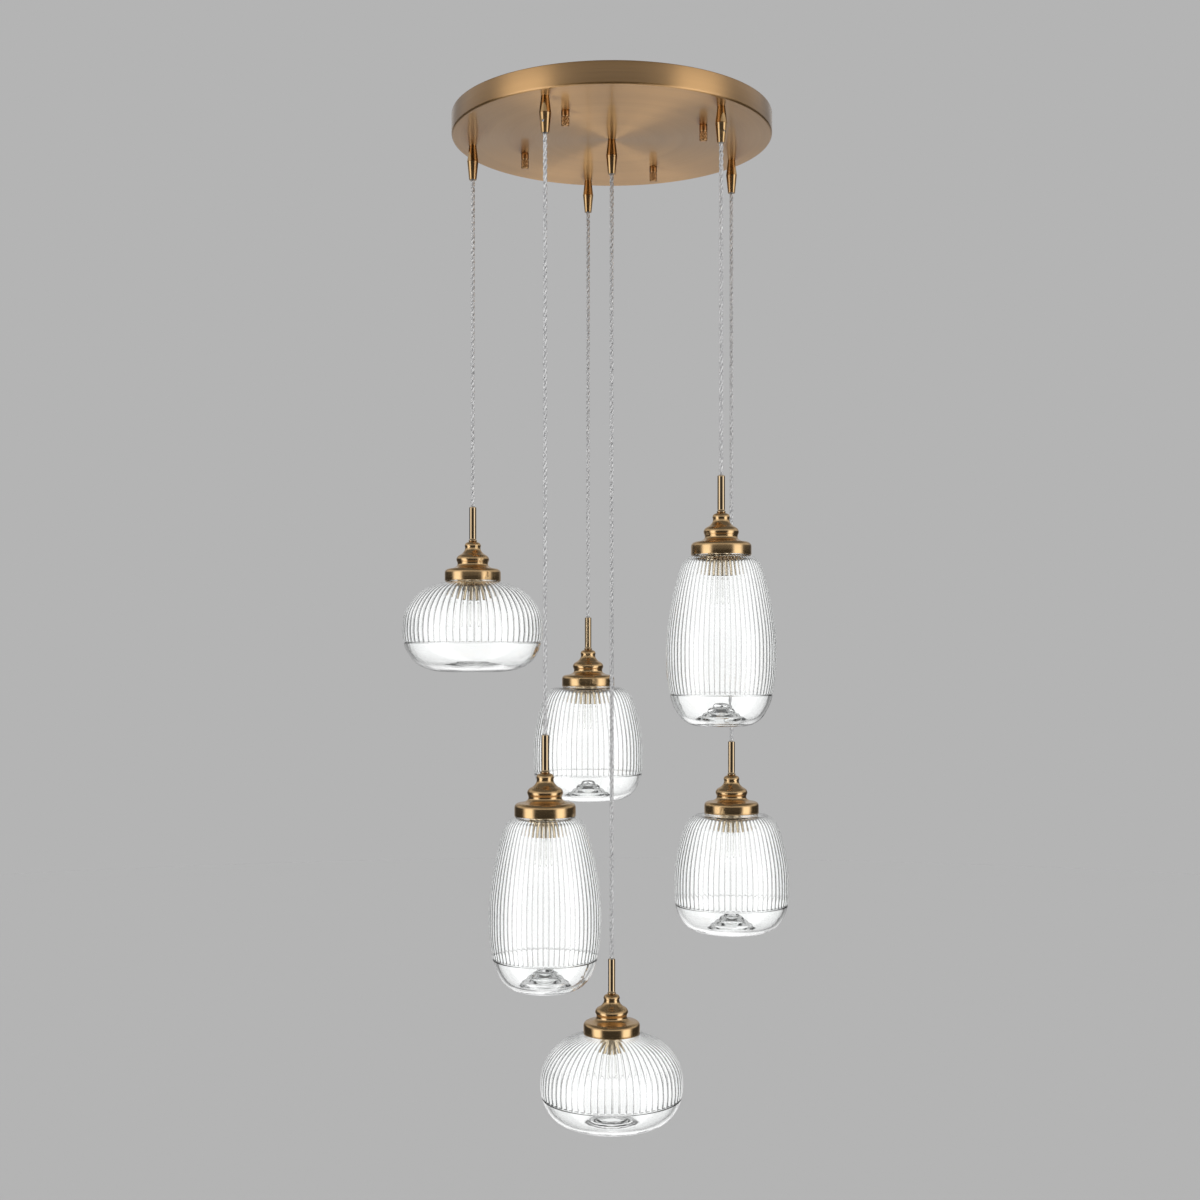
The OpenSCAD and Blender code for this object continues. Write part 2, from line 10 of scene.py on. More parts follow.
import bpy
import numpy as np
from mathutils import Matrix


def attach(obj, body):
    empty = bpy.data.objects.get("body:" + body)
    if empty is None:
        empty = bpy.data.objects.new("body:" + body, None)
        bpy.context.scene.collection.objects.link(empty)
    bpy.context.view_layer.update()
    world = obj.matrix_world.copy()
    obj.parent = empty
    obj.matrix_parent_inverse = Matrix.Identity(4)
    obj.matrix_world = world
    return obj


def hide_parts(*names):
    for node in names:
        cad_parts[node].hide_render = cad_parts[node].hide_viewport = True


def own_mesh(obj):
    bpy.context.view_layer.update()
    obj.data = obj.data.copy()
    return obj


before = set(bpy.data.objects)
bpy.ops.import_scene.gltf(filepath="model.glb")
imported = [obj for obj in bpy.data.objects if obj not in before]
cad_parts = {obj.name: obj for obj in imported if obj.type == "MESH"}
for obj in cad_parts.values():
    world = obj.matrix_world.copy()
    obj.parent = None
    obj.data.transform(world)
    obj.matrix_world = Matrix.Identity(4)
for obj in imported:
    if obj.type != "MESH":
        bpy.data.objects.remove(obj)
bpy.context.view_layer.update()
scene = bpy.context.scene

# %% [markdown]
# ## The camera
#
# The photograph was taken with a level camera, so upright edges stay upright. The horizon lies a little
# below the middle of the picture, and a small vertical shift of the lens puts it there without a tilt.

# %% Camera
PICTURE_SIDE = 1200
HORIZON_Y = 650
LENS_MM = 48
SENSOR_MM = 36
CAMERA_PLACE = (-0.0165, -2.256, -0.749)
camera_data = bpy.data.cameras.new("camera")
camera_data.sensor_width = SENSOR_MM
camera_data.lens = LENS_MM
camera_data.shift_y = (HORIZON_Y - PICTURE_SIDE / 2) / PICTURE_SIDE
camera = bpy.data.objects.new("camera", camera_data)
camera.location = CAMERA_PLACE
camera.rotation_euler = (math.pi / 2, 0, 0)
scene.collection.objects.link(camera)
scene.camera = camera
print("camera", [round(v, 3) for v in camera.location], "shift", round(camera_data.shift_y, 4))

# %% [markdown]
# ## Where the pendants hang
#
# One pendant hangs in the middle and five on a ring. Each cable leaves the mouth of its grip and falls
# straight down. The list gives, in millimetres, how far below the mouth the points lie that each cable
# follows, and its last number is the cable's whole drop.

# %% Places of the six pendants
MM = 0.001
RING_R = 200 * MM
RING_TURN = 28
RING_PLACE = [2, 3, 1, None, 4, 0]
SHADE_KIND = ["squat", "tall", "medium", "squat", "tall", "medium"]
MOUTH_Z = -78 * MM
ROOT_L = 12 * MM
CABLE_D = 6 * MM
CABLE_FALLS = [
    [12, 60, 110, 160, 210, 260, 310, 360, 410, 467],
    [12, 80, 150, 220, 290, 360, 430, 500, 570, 640, 710, 781],
    [12, 70, 130, 190, 250, 310, 370, 430, 490, 550, 621],
    [12, 100, 190, 280, 370, 460, 550, 640, 730, 820, 910, 1010, 1106],
    [12, 60, 110, 160, 210, 260, 310, 350, 400, 440],
    [12, 80, 150, 220, 290, 360, 430, 500, 570, 640, 720, 805],
]
STEM_H = 49 * MM
CAP_H = 56 * MM
BODY_GAP = 0.3 * MM


def grip_place(place):
    """The point on the ring at that many fifths of a turn, or the middle."""
    if place is None:
        return (0.0, 0.0)
    turn = math.radians(RING_TURN + 72 * place)
    return (RING_R * math.cos(turn), RING_R * math.sin(turn))


class Pendant:
    """One pendant: its number, place, kind of shade, cable points and the height of its cap's rim."""

    def __init__(self, number):
        self.number = number
        self.x, self.y = grip_place(RING_PLACE[number - 1])
        self.kind = SHADE_KIND[number - 1]
        self.falls = [fall * MM for fall in CABLE_FALLS[number - 1]]
        self.rim_z = MOUTH_Z - self.falls[-1] - BODY_GAP - STEM_H - CAP_H

    def named(self, piece):
        """The name of one of its pieces, such as glass_3."""
        return f"{piece}_{self.number}"


pendants = [Pendant(number) for number in range(1, 7)]
for pendant in pendants:
    print(pendant.number, pendant.kind, "rim at", round(pendant.rim_z, 4))

# %% [markdown]
# ## Grids that become meshes
#
# Every new piece is a surface over a grid of two numbers, such as a height and an angle. The helper below
# joins neighbouring points into four-sided faces. A row wraps round when the surface closes on itself, and
# an end that shrinks to a point or to a small ring is closed with one face.


# %% Mesh helpers
def grid_faces(rows, columns):
    """Faces of a grid whose rows wrap round: each joins a point, the next in its row and the two below."""
    row, column = np.meshgrid(np.arange(rows - 1), np.arange(columns), indexing="ij")
    after = (column + 1) % columns
    corners = [row * columns + column, (row + 1) * columns + column, (row + 1) * columns + after,
               row * columns + after]
    return np.stack(corners, axis=-1).reshape(-1, 4)


def closed_grid(points, rows, columns):
    """Points, faces, and one face over each end row. The faces look outwards where the rows run upwards and
    the columns run anticlockwise as seen from above, or where both run the other way."""
    last = (rows - 1) * columns
    ends = [list(range(columns - 1, -1, -1)), list(range(last, last + columns))]
    return points, grid_faces(rows, columns)[:, ::-1], ends


def inside_out(part):
    """The same points, with every face turned to look the other way."""
    points, faces, ends = part
    return points, faces[:, ::-1], [end[::-1] for end in ends]


def build_mesh(name, points, faces, ends=()):
    """An object of four-sided faces, with a flat end face for each list of corners in ends."""
    mesh = bpy.data.meshes.new(name)
    mesh.from_pydata(np.asarray(points, float), [], [*faces.tolist(), *ends])
    mesh.polygons.foreach_set("use_smooth", np.ones(len(mesh.polygons), bool))
    mesh.update()
    piece = bpy.data.objects.new(name, mesh)
    scene.collection.objects.link(piece)
    print(f"{name}: {len(mesh.vertices)} points, {len(mesh.polygons)} faces")
    return piece


def ring_angles(columns):
    """Angles of equal steps round a circle, starting at zero."""
    return np.arange(columns) * 2 * np.pi / columns


def circles(first, second, sides):
    """Unit circles, one for each pair of crossed directions: cos a * first + sin a * second."""
    around = ring_angles(sides)[None, :, None]
    return np.cos(around) * first[:, None, :] + np.sin(around) * second[:, None, :]


def lathe(profile, columns, centre=(0, 0, 0)):
    """Points of a turned shape: each profile point (r, z) goes round the axis as (r cos a, r sin a, z)."""
    r, z = np.asarray(profile, float).T
    turn = ring_angles(columns)
    points = np.stack([np.outer(r, np.cos(turn)), np.outer(r, np.sin(turn)),
                       np.outer(z, np.ones(columns))], axis=-1)
    return points.reshape(-1, 3) + np.asarray(centre, float)


def closed_lathe(name, profile, columns, centre=(0, 0, 0)):
    """A turned ring: the profile is a closed loop of (r, z) points, and its last row joins its first. The
    faces look outwards where the loop runs clockwise, with r to the right and z upwards."""
    points = lathe(profile, columns, centre)
    rows = len(profile)
    faces = grid_faces(rows, columns)
    seam = np.arange(columns)
    after = (seam + 1) % columns
    last = (rows - 1) * columns
    closing = np.stack([last + seam, seam, after, last + after], axis=-1)
    return build_mesh(name, points, np.concatenate([faces, closing]))


def merge_meshes(name, parts):
    """One object from a list of parts, each of them points, faces and end faces."""
    points, faces, ends, start = [], [], [], 0
    for some_points, some_faces, some_ends in parts:
        points.append(some_points)
        faces.append(some_faces + start)
        ends += [[corner + start for corner in end] for end in some_ends]
        start += len(some_points)
    return build_mesh(name, np.concatenate(points), np.concatenate(faces), ends)


def smooth_curve(points, steps):
    """A curve through points: each span is a cubic, and its slope at a point is half the chord between that
    point's two neighbours."""
    p = np.asarray(points, float)
    a, b, c, d = p[np.r_[0, :len(p) - 2]], p[:-1], p[1:], p[np.r_[2:len(p), len(p) - 1]]
    t = (np.arange(steps) / steps)[None, :, None]
    a, b, c, d = (q[:, None, :] for q in (a, b, c, d))
    curve = 0.5 * (2 * b + (c - a) * t + (2 * a - 5 * b + 4 * c - d) * t**2 + (3 * b - a - 3 * c + d) * t**3)
    return np.concatenate([curve.reshape(-1, p.shape[1]), p[-1:]])


def moved_inwards(profile, wall):
    """The profile moved square to itself, towards the axis where it runs downwards."""
    p = np.asarray(profile, float)
    way = np.gradient(p, axis=0)
    way /= np.linalg.norm(way, axis=1, keepdims=True)
    return p + wall * np.stack([way[:, 1], -way[:, 0]], axis=-1)


def fillet(centre, r, start, end, steps):
    """Points of an arc in the (r, z) plane, between two angles in degrees."""
    turn = np.radians(np.linspace(start, end, steps + 1))
    return np.asarray(centre) + r * np.stack([np.cos(turn), np.sin(turn)], axis=-1)

# %% [markdown]
# ## The twisted cables
#
# Each cable is three insulated strands laid round each other like a rope. A strand is a tube carried along
# a helix: its centre runs round the cable's own line once every lay length. The cable below the grip is in
# two lengths, because the short first stretch takes the bend when the pendant sways.


# %% Cables
STRANDS = 3
STRAND_R = 1.39 * MM
HELIX_R = CABLE_D / 2 - STRAND_R
LAY_L = 28 * MM
RINGS_PER_LAY = 16
FEWEST_RINGS = 6
STRAND_SIDES = 9
FLEX_GAP = 0.4 * MM


def twisted_strands(name, pendant, top_z, bottom_z):
    """Three tubes round one upright line. A strand's centre at height z stands at the angle 2 pi z / lay, and
    its ring of points lies square to the helix, except for the two end rings, which are level."""
    rings = max(FEWEST_RINGS, round((top_z - bottom_z) / LAY_L * RINGS_PER_LAY))
    z = np.linspace(top_z, bottom_z, rings)
    slope = 2 * np.pi / LAY_L * HELIX_R
    line = np.stack([np.full(rings, pendant.x), np.full(rings, pendant.y), z], axis=-1)
    parts = []
    for strand in range(STRANDS):
        turn = 2 * np.pi * (z / LAY_L + strand / STRANDS)
        out = np.stack([np.cos(turn), np.sin(turn), np.zeros(rings)], axis=-1)
        along = np.stack([-np.sin(turn) * slope, np.cos(turn) * slope, np.ones(rings)], axis=-1)
        along /= np.linalg.norm(along, axis=1, keepdims=True)
        ring = circles(out, np.cross(out, along), STRAND_SIDES)
        ring[[0, -1], :, 2] = 0
        points = ((line + HELIX_R * out)[:, None, :] + STRAND_R * ring).reshape(-1, 3)
        parts.append(closed_grid(points, rings, STRAND_SIDES))
    return merge_meshes(name, parts)


cables = []
for pendant in pendants:
    root = twisted_strands(pendant.named("cable_neck"), pendant, MOUTH_Z - FLEX_GAP,
                           MOUTH_Z - ROOT_L + FLEX_GAP)
    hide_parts(pendant.named("cable_root"))
    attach(root, pendant.named("bend"))
    top_z = MOUTH_Z - ROOT_L
    end_z = MOUTH_Z - pendant.falls[-1]
    twist = twisted_strands(pendant.named("twisted_cable"), pendant, top_z, end_z)
    # The path goes through the cable's points, with one more halfway between each two of them.
    heights = [MOUTH_Z - fall for fall in pendant.falls]
    places = np.linspace(0, len(heights) - 1, 2 * len(heights) - 1)
    path = [(pendant.x, pendant.y, z) for z in np.interp(places, range(len(heights)), heights)]
    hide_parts(pendant.named("cable"))
    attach(twist, pendant.named("drop"))
    pendant.named("raise")
    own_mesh(twist)
    cables += [root, twist]

# %% [markdown]
# ## Finishes
#
# Nearly all the metal that shows is brass, in several finishes: the canopy is brushed in rings and lacquered,
# the caps are turned to a satin, the nuts are duller, and the stems and grips are polished. One function
# lays down the tool's fine rings, and each finish then sets its own colour and gloss. The rings follow the
# surface through an attribute named turned, which holds the direction round the axis and the distance
# along the profile.


# %% Material helpers
NOISE_RANGE = (0.3, 0.7)


def principled(material):
    """The material's Principled shader node."""
    return material.node_tree.nodes["Principled BSDF"]


def new_material(name, colour, **sockets):
    """A material with one Principled shader, whose sockets are set by name with _ for a space."""
    material = bpy.data.materials.new(name)
    material.use_nodes = True
    shader = principled(material)
    shader.inputs["Base Color"].default_value = (*colour, 1)
    for socket, value in sockets.items():
        shader.inputs[socket.replace("_", " ")].default_value = value
    return material


def toned(colour, share):
    """The colour with each channel taken down to that share."""
    return tuple(share * channel for channel in colour)


def add_node(material, kind, **settings):
    """A node of that kind. Settings that name an input set it, and the rest are the node's own."""
    made = material.node_tree.nodes.new(kind)
    for key, value in settings.items():
        if hasattr(made, key):
            setattr(made, key, value)
        else:
            made.inputs[key.replace("_", " ")].default_value = value
    return made


def join(material, *chain):
    """Links pairs of (node, output name), (node, input name), one after another."""
    for (source, output), (target, socket) in zip(chain[::2], chain[1::2]):
        material.node_tree.links.new(source.outputs[output], target.inputs[socket])


def vary(material, coordinates, scale, socket, low, high, detail=3):
    """Drives a socket by a noise that is stretched by scale. The noise mostly stays within NOISE_RANGE, which
    is remapped to run from low to high, two numbers or two colours."""
    mapping = add_node(material, "ShaderNodeMapping", Scale=scale)
    noise = add_node(material, "ShaderNodeTexNoise", Scale=1, Detail=detail)
    join(material, coordinates, (mapping, "Vector"), (mapping, "Vector"), (noise, "Vector"))
    if isinstance(low, tuple):
        ramp = add_node(material, "ShaderNodeValToRGB")
        for element, position, colour in zip(ramp.color_ramp.elements, NOISE_RANGE, (low, high)):
            element.position = position
            element.color = (*colour, 1)
        join(material, (noise, "Fac"), (ramp, "Fac"), (ramp, "Color"), (principled(material), socket))
    else:
        spread = add_node(material, "ShaderNodeMapRange", From_Min=NOISE_RANGE[0], From_Max=NOISE_RANGE[1],
                          To_Min=low, To_Max=high)
        join(material, (noise, "Fac"), (spread, "Value"), (spread, "Result"), (principled(material), socket))
    return noise


def bump(material, noise, height, strength=1):
    """A bump of that height in metres from a noise that is already there."""
    made = add_node(material, "ShaderNodeBump", Strength=strength, Distance=height)
    join(material, (noise, "Fac"), (made, "Height"), (made, "Normal"), (principled(material), "Normal"))


def turned_coordinates(material):
    """The output that gives a point's place round the axis and along the profile."""
    return (add_node(material, "ShaderNodeAttribute", attribute_name="turned"), "Vector")


def object_coordinates(material):
    """The output that gives a point's place in metres."""
    return (add_node(material, "ShaderNodeTexCoord"), "Object")

# %% [markdown]
# ### Brass
#
# Brass is a metal, so its colour is the colour of its reflections. The fine rings of the brush or of the
# lathe tool stretch a highlight across themselves, which the shader's anisotropy does, and a slow noise
# breaks the colour up a little, as aged brass does under its lacquer.


# %% Brass finishes
RING_SCALE = (4, 4, 2600)
DRIFT_SCALE = (3, 3, 40)
COAT_ROUGHNESS = 0.12
QUARTER_TURN = 0.25


def brass(name, colour, roughness, spread, ring_height, anisotropy=0.0, coat=0.0):
    """Brass with tool rings: roughness runs over spread from ring to ring, and the colour drifts slowly. The
    scales give noise cells round the axis and for each metre along the profile."""
    material = new_material(name, colour, Metallic=1, Roughness=roughness, Anisotropic=anisotropy,
                            Coat_Weight=coat, Coat_Roughness=COAT_ROUGHNESS)
    turned = turned_coordinates(material)
    rings = vary(material, turned, RING_SCALE, "Roughness", roughness - spread, roughness + spread)
    vary(material, turned, DRIFT_SCALE, "Base Color", toned(colour, 0.9), colour, detail=5)
    bump(material, rings, ring_height)
    if anisotropy:
        tangent = add_node(material, "ShaderNodeTangent", direction_type="RADIAL", axis="Z")
        principled(material).inputs["Anisotropic Rotation"].default_value = QUARTER_TURN
        join(material, (tangent, "Tangent"), (principled(material), "Tangent"))
    return material


canopy_brass = brass("canopy_brass", (0.64, 0.375, 0.155), 0.38, 0.05, 0.008 * MM, anisotropy=0.95, coat=0.7)
cap_brass = brass("cap_brass", (0.67, 0.45, 0.23), 0.21, 0.03, 0.005 * MM, anisotropy=0.4)
polished_brass = brass("polished_brass", (0.59, 0.44, 0.27), 0.07, 0.02, 0.002 * MM)
nut_brass = brass("nut_brass", (0.58, 0.34, 0.16), 0.32, 0.05, 0.002 * MM)
print("brass finishes", canopy_brass.name, cap_brass.name, polished_brass.name, nut_brass.name)

# %% [markdown]
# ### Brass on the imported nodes
#
# The grips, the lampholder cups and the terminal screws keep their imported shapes, which have no attribute
# for tool rings to follow. They are small and polished, so a noise on Object coordinates, which every mesh
# has, moves their gloss and their colour instead.


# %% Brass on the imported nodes
def plain_brass(name, colour, roughness):
    """Brass on Object coordinates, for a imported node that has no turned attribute."""
    material = new_material(name, colour, Metallic=1, Roughness=roughness)
    noise = vary(material, object_coordinates(material), (300, 300, 900), "Roughness", roughness * 0.7,
                 roughness * 1.3)
    vary(material, object_coordinates(material), (60,) * 3, "Base Color", toned(colour, 0.88), colour)
    bump(material, noise, 0.01 * MM)
    return material


holder_brass = plain_brass("holder_brass", (0.84, 0.70, 0.50), 0.16)
grip_brass = plain_brass("grip_brass", (0.56, 0.36, 0.17), 0.14)
screw_brass = plain_brass("screw_brass", (0.72, 0.50, 0.24), 0.3)
print("brass for packed nodes", holder_brass.name, grip_brass.name, screw_brass.name)

# %% [markdown]
# ### Steel, plastic, ceramic and paint
#
# These sit inside the canopy or the lampholders. Zinc plating is a pale metal with a fine crystal
# pattern, which a Voronoi texture gives. The moulded, fired and painted parts are duller, with a slight
# unevenness from a noise.


# %% Steel, plastic, ceramic and paint
def zinc(name, colour, roughness):
    """Plated steel: cells of a Voronoi texture shift the roughness from crystal to crystal."""
    material = new_material(name, colour, Metallic=1, Roughness=roughness)
    cells = add_node(material, "ShaderNodeTexVoronoi", Scale=900)
    spread = add_node(material, "ShaderNodeMapRange", To_Min=roughness * 0.7, To_Max=roughness * 1.4)
    join(material, object_coordinates(material), (cells, "Vector"), (cells, "Distance"), (spread, "Value"),
         (spread, "Result"), (principled(material), "Roughness"))
    vary(material, object_coordinates(material), (90,) * 3, "Base Color", toned(colour, 0.85), colour)
    return material


def moulded(name, colour, roughness, height):
    """A moulded, fired or painted surface: a fine noise moves its gloss and its height, and a coarser one
    moves its colour."""
    material = new_material(name, colour, Roughness=roughness)
    noise = vary(material, object_coordinates(material), (400,) * 3, "Roughness", roughness * 0.85,
                 roughness * 1.15)
    vary(material, object_coordinates(material), (80,) * 3, "Base Color", toned(colour, 0.93), colour)
    bump(material, noise, height)
    return material


bracket_steel = zinc("bracket_steel", (0.58, 0.59, 0.60), 0.35)
zinc_steel = zinc("zinc_steel", (0.66, 0.67, 0.68), 0.25)
dark_steel = zinc("dark_steel", (0.55, 0.55, 0.56), 0.22)
block_plastic = moulded("block_plastic", (0.82, 0.81, 0.77), 0.35, 0.01 * MM)
ceramic_white = moulded("ceramic_white", (0.80, 0.79, 0.75), 0.6, 0.03 * MM)
earth_paint = moulded("earth_paint", (0.05, 0.25, 0.04), 0.4, 0.02 * MM)
print("steel", bracket_steel.name, zinc_steel.name, dark_steel.name)
print("plastic, ceramic and paint", block_plastic.name, ceramic_white.name, earth_paint.name)

# %% [markdown]
# ### Cable and glass
#
# A strand of the cable is a bundle of tinned wires in clear plastic. At this size that is a bright, broken
# silver under a gloss coat. The glass is clear with a trace of green, and a slow bump gives the slight waves
# that pressing leaves. Light passes through it, so the shade keeps no shadow of its own.

# %% Cable and glass
clear_cable = new_material("clear_cable", (0.78, 0.79, 0.80), Metallic=0.25, Roughness=0.22, Coat_Weight=1,
                           Coat_Roughness=0.05)
wires = vary(clear_cable, object_coordinates(clear_cable), (420, 420, 300), "Base Color", (0.44, 0.44, 0.45),
             (1.0, 1.0, 1.0))
bump(clear_cable, wires, 0.08 * MM)

clear_glass = new_material("clear_glass", (0.985, 0.992, 0.99), Roughness=0.0, IOR=1.5, Transmission_Weight=1)
pressed = add_node(clear_glass, "ShaderNodeTexNoise", Scale=55, Detail=2)
join(clear_glass, object_coordinates(clear_glass), (pressed, "Vector"))
bump(clear_glass, pressed, 0.4 * MM, strength=0.35)

bulb_glass = new_material("bulb_glass", (0.99, 0.99, 0.98), Roughness=0.02, IOR=1.12,
                          Transmission_Weight=1)
seeds = add_node(bulb_glass, "ShaderNodeTexNoise", Scale=300, Detail=2)
join(bulb_glass, object_coordinates(bulb_glass), (seeds, "Vector"))
bump(bulb_glass, seeds, 0.05 * MM, strength=0.3)

tungsten = new_material("filament_tungsten", (0.1, 0.1, 0.1), Metallic=1, Roughness=0.5)
vary(tungsten, object_coordinates(tungsten), (2000,) * 3, "Base Color", (0.05,) * 3, (0.14,) * 3)
for cable in cables:
    cable.data.materials.append(clear_cable)
print("cable and glass", clear_cable.name, clear_glass.name, bulb_glass.name, tungsten.name)

# %% [markdown]
# ### Dressing a piece
#
# Each new piece gets its finish and the body that it moves with. A turned piece also gets the
# attribute for its tool rings. A UV map could hold the same numbers, but an attribute needs no unwrapping
# and has no seam.


# %% Dressing helpers
def dress(piece, material, body, slot, *nodes):
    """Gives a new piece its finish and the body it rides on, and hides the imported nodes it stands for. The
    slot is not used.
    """
    piece.data.materials.append(material)
    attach(piece, body)
    if nodes:
        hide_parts(*nodes)


def mark_turned(piece, profile, columns, copies=1):
    """The attribute turned: (cos a, sin a) / 10 and the distance along the profile, for tool rings."""
    step = np.linalg.norm(np.diff(np.asarray(profile, float), axis=0), axis=1)
    along = np.concatenate([[0], np.cumsum(step)])
    turn = ring_angles(columns)
    value = np.stack([np.tile(np.cos(turn) / 10, len(along)), np.tile(np.sin(turn) / 10, len(along)),
                      np.repeat(along, columns)], axis=-1)
    attribute = piece.data.attributes.new("turned", "FLOAT_VECTOR", "POINT")
    attribute.data.foreach_set("vector", np.tile(value, (copies, 1)).ravel())

# %% [markdown]
# ## The canopy
#
# The canopy is a shallow drum, spun from one sheet of brass. Its profile is a closed loop: across the
# underside, round the lower edge, up the wall and back down inside. A lathe turns that loop into a shell
# with a true thickness, and extra rows close to the bend keep its highlight narrow. The loop stops just
# short of the axis, where the middle grip covers the pinhole that it leaves.

# %% Canopy
CANOPY_R = 225 * MM
CANOPY_H = 30 * MM
SHEET = 1.5 * MM
EDGE_R = 3 * MM
RIM_BEVEL = 0.3 * MM
RIM_BEVEL_H = 1 * MM
PINHOLE_R = 0.4 * MM
CANOPY_COLUMNS = 256


def flat_rows(r_from, r_to, z, rows):
    """Evenly spaced profile points (r, z) at one height."""
    return np.stack([np.linspace(r_from, r_to, rows), np.full(rows, z)], axis=-1)


flat_r = CANOPY_R - EDGE_R - SHEET
bend_centre = (CANOPY_R - EDGE_R, EDGE_R - CANOPY_H)
canopy_profile = np.concatenate([
    flat_rows(PINHOLE_R, flat_r, -CANOPY_H, 24), fillet(bend_centre, EDGE_R, -90, 0, 10),
    [(CANOPY_R, -CANOPY_H * 0.6), (CANOPY_R, -RIM_BEVEL_H), (CANOPY_R - RIM_BEVEL, 0), (CANOPY_R - SHEET, 0)],
    fillet(bend_centre, EDGE_R - SHEET, 0, -90, 5), flat_rows(flat_r, PINHOLE_R, SHEET - CANOPY_H, 6),
])[::-1]
canopy = closed_lathe("canopy_drum", canopy_profile, CANOPY_COLUMNS)
mark_turned(canopy, canopy_profile, CANOPY_COLUMNS)
dress(canopy, canopy_brass, "canopy", "canopy_brass", "canopy_shell")

# %% [markdown]
# ## The knurled nuts
#
# A knurl is cut by two wheels that press crossed spiral grooves into the metal, which leaves small raised
# diamonds. On the grid the radius drops by the deeper of two slanted waves, one for each wheel.

# %% Knurled nuts
NUTS = 4
NUT_R = 5.5 * MM
NUT_TOP_R = 2.6 * MM
NUT_BEVEL = 0.3 * MM
NUT_GROOVE = 1.2 * MM
# The rows above and below the knurl, as depths below the nut's top, and the radii of the lower ones, in mm.
NUT_TOP_DEPTHS = [0, 0, 0.3, 4, 8.2, 8.5, 8.8, 9.7, 10]
NUT_FOOT_DEPTHS = [20.2, 20.9, 21.5, 21.9, 22, 22]
NUT_FOOT_RADII = [5.4, 5.1, 4.5, 3.9, 3.6, 0.05]
KNURL_FROM = 9.9 * MM
KNURL_TO = 20.4 * MM
KNURL_DEPTH = 0.8 * MM
KNURLS_ROUND = 7
NUT_COLUMNS = 72
STUD_RING_R = 140 * MM
STUD_TURN = 63.4


def nut_points(centre):
    """A nut from its top to its rounded foot: a plain neck, a groove, and crossed spiral grooves below. The
    two waves are 1 - |sin((knurls * angle + or - climb) / 2)|, and the deeper one, squared, is cut away."""
    depth = np.concatenate([NUT_TOP_DEPTHS, np.linspace(10.4, 19.6, 28), NUT_FOOT_DEPTHS]) * MM
    radius = np.full(len(depth), NUT_R)
    radius[0] = NUT_TOP_R
    radius[1] = NUT_R - NUT_BEVEL
    radius[6:8] = NUT_R - NUT_GROOVE
    radius[-len(NUT_FOOT_RADII):] = np.array(NUT_FOOT_RADII) * MM
    turn = ring_angles(NUT_COLUMNS)
    pitch = 2 * np.pi * NUT_R / KNURLS_ROUND
    climb = depth[:, None] / pitch * 2 * np.pi
    wheels = [1 - np.abs(np.sin((KNURLS_ROUND * turn[None, :] + way * climb) / 2)) for way in (-1, 1)]
    cut = np.maximum(*wheels) ** 2
    within = (depth > KNURL_FROM) & (depth < KNURL_TO)
    r = radius[:, None] - KNURL_DEPTH * cut * within[:, None]
    z = np.broadcast_to(-depth[:, None], r.shape)
    points = np.stack([r * np.cos(turn), r * np.sin(turn), z], axis=-1)
    return points.reshape(-1, 3) + np.asarray(centre), np.stack([radius, -depth], axis=-1)


nut_parts = []
for k in range(NUTS):
    turn = math.radians(STUD_TURN + 360 / NUTS * k)
    centre = (STUD_RING_R * math.cos(turn), STUD_RING_R * math.sin(turn), -CANOPY_H)
    points, nut_profile = nut_points(centre)
    nut_parts.append(inside_out(closed_grid(points, len(nut_profile), NUT_COLUMNS)))
nuts = merge_meshes("knurled_nut_set", nut_parts)
mark_turned(nuts, nut_profile, NUT_COLUMNS, copies=NUTS)
dress(nuts, nut_brass, "canopy", "polished_brass", "knurled_nuts")

# %% [markdown]
# ## Stems and caps
#
# A cap is turned from sheet: a straight rim, a broad shoulder, a waist, a second smaller shoulder and a
# collar. Its outline is a smooth curve through a few measured points, and the inside is the same curve moved
# in by the wall. The stem is a polished tube that stands in a small bead on the collar.

# %% Stems and caps
CAP_R = 40 * MM
CAP_WALL = 1.5 * MM
CAP_TOP_T = 3 * MM
CAP_EDGE = 0.5 * MM
INNER_EDGE = 0.3 * MM
SHOULDER_R = 0.15 * CAP_R
SHOULDER_Z = 0.2 * CAP_H
CAP_HOLE_R = 4.5 * MM
CAP_COLUMNS = 96
STEM_R = 5 * MM
STEM_FOOT_R = 4.1 * MM
STEM_FOOT_L = 2 * MM
STEM_EDGE = 0.5 * MM
BEAD_R = 1.1 * MM
BORE_R = 3.2 * MM
STEM_COLUMNS = 48
# Points from the first shoulder to the collar, as shares of the cap's radius and of its height.
CAP_SHARES = [(0.76, 0.318), (0.655, 0.34), (0.565, 0.385), (0.545, 0.445), (0.585, 0.545), (0.53, 0.63),
              (0.39, 0.695), (0.295, 0.775), (0.275, 0.845), (0.29, 0.895), (0.255, 0.955), (0.18, 0.985)]
cap_bend = smooth_curve([(share * CAP_R, height * CAP_H) for share, height in CAP_SHARES], 6)
rim = [(CAP_R - CAP_EDGE, 0), (CAP_R - 0.3 * CAP_EDGE, 0.3 * CAP_EDGE), (CAP_R, CAP_EDGE),
       (CAP_R, 0.1 * CAP_H)]
shoulder = fillet((CAP_R - SHOULDER_R, SHOULDER_Z), SHOULDER_R, 0, 90, 10)
ceiling_z = CAP_H - CAP_TOP_T
cap_inside = moved_inwards(np.concatenate([shoulder, cap_bend])[::-1], CAP_WALL)
cap_inside = cap_inside[(cap_inside[:, 1] > 2 * INNER_EDGE) & (cap_inside[:, 1] < ceiling_z - INNER_EDGE)]
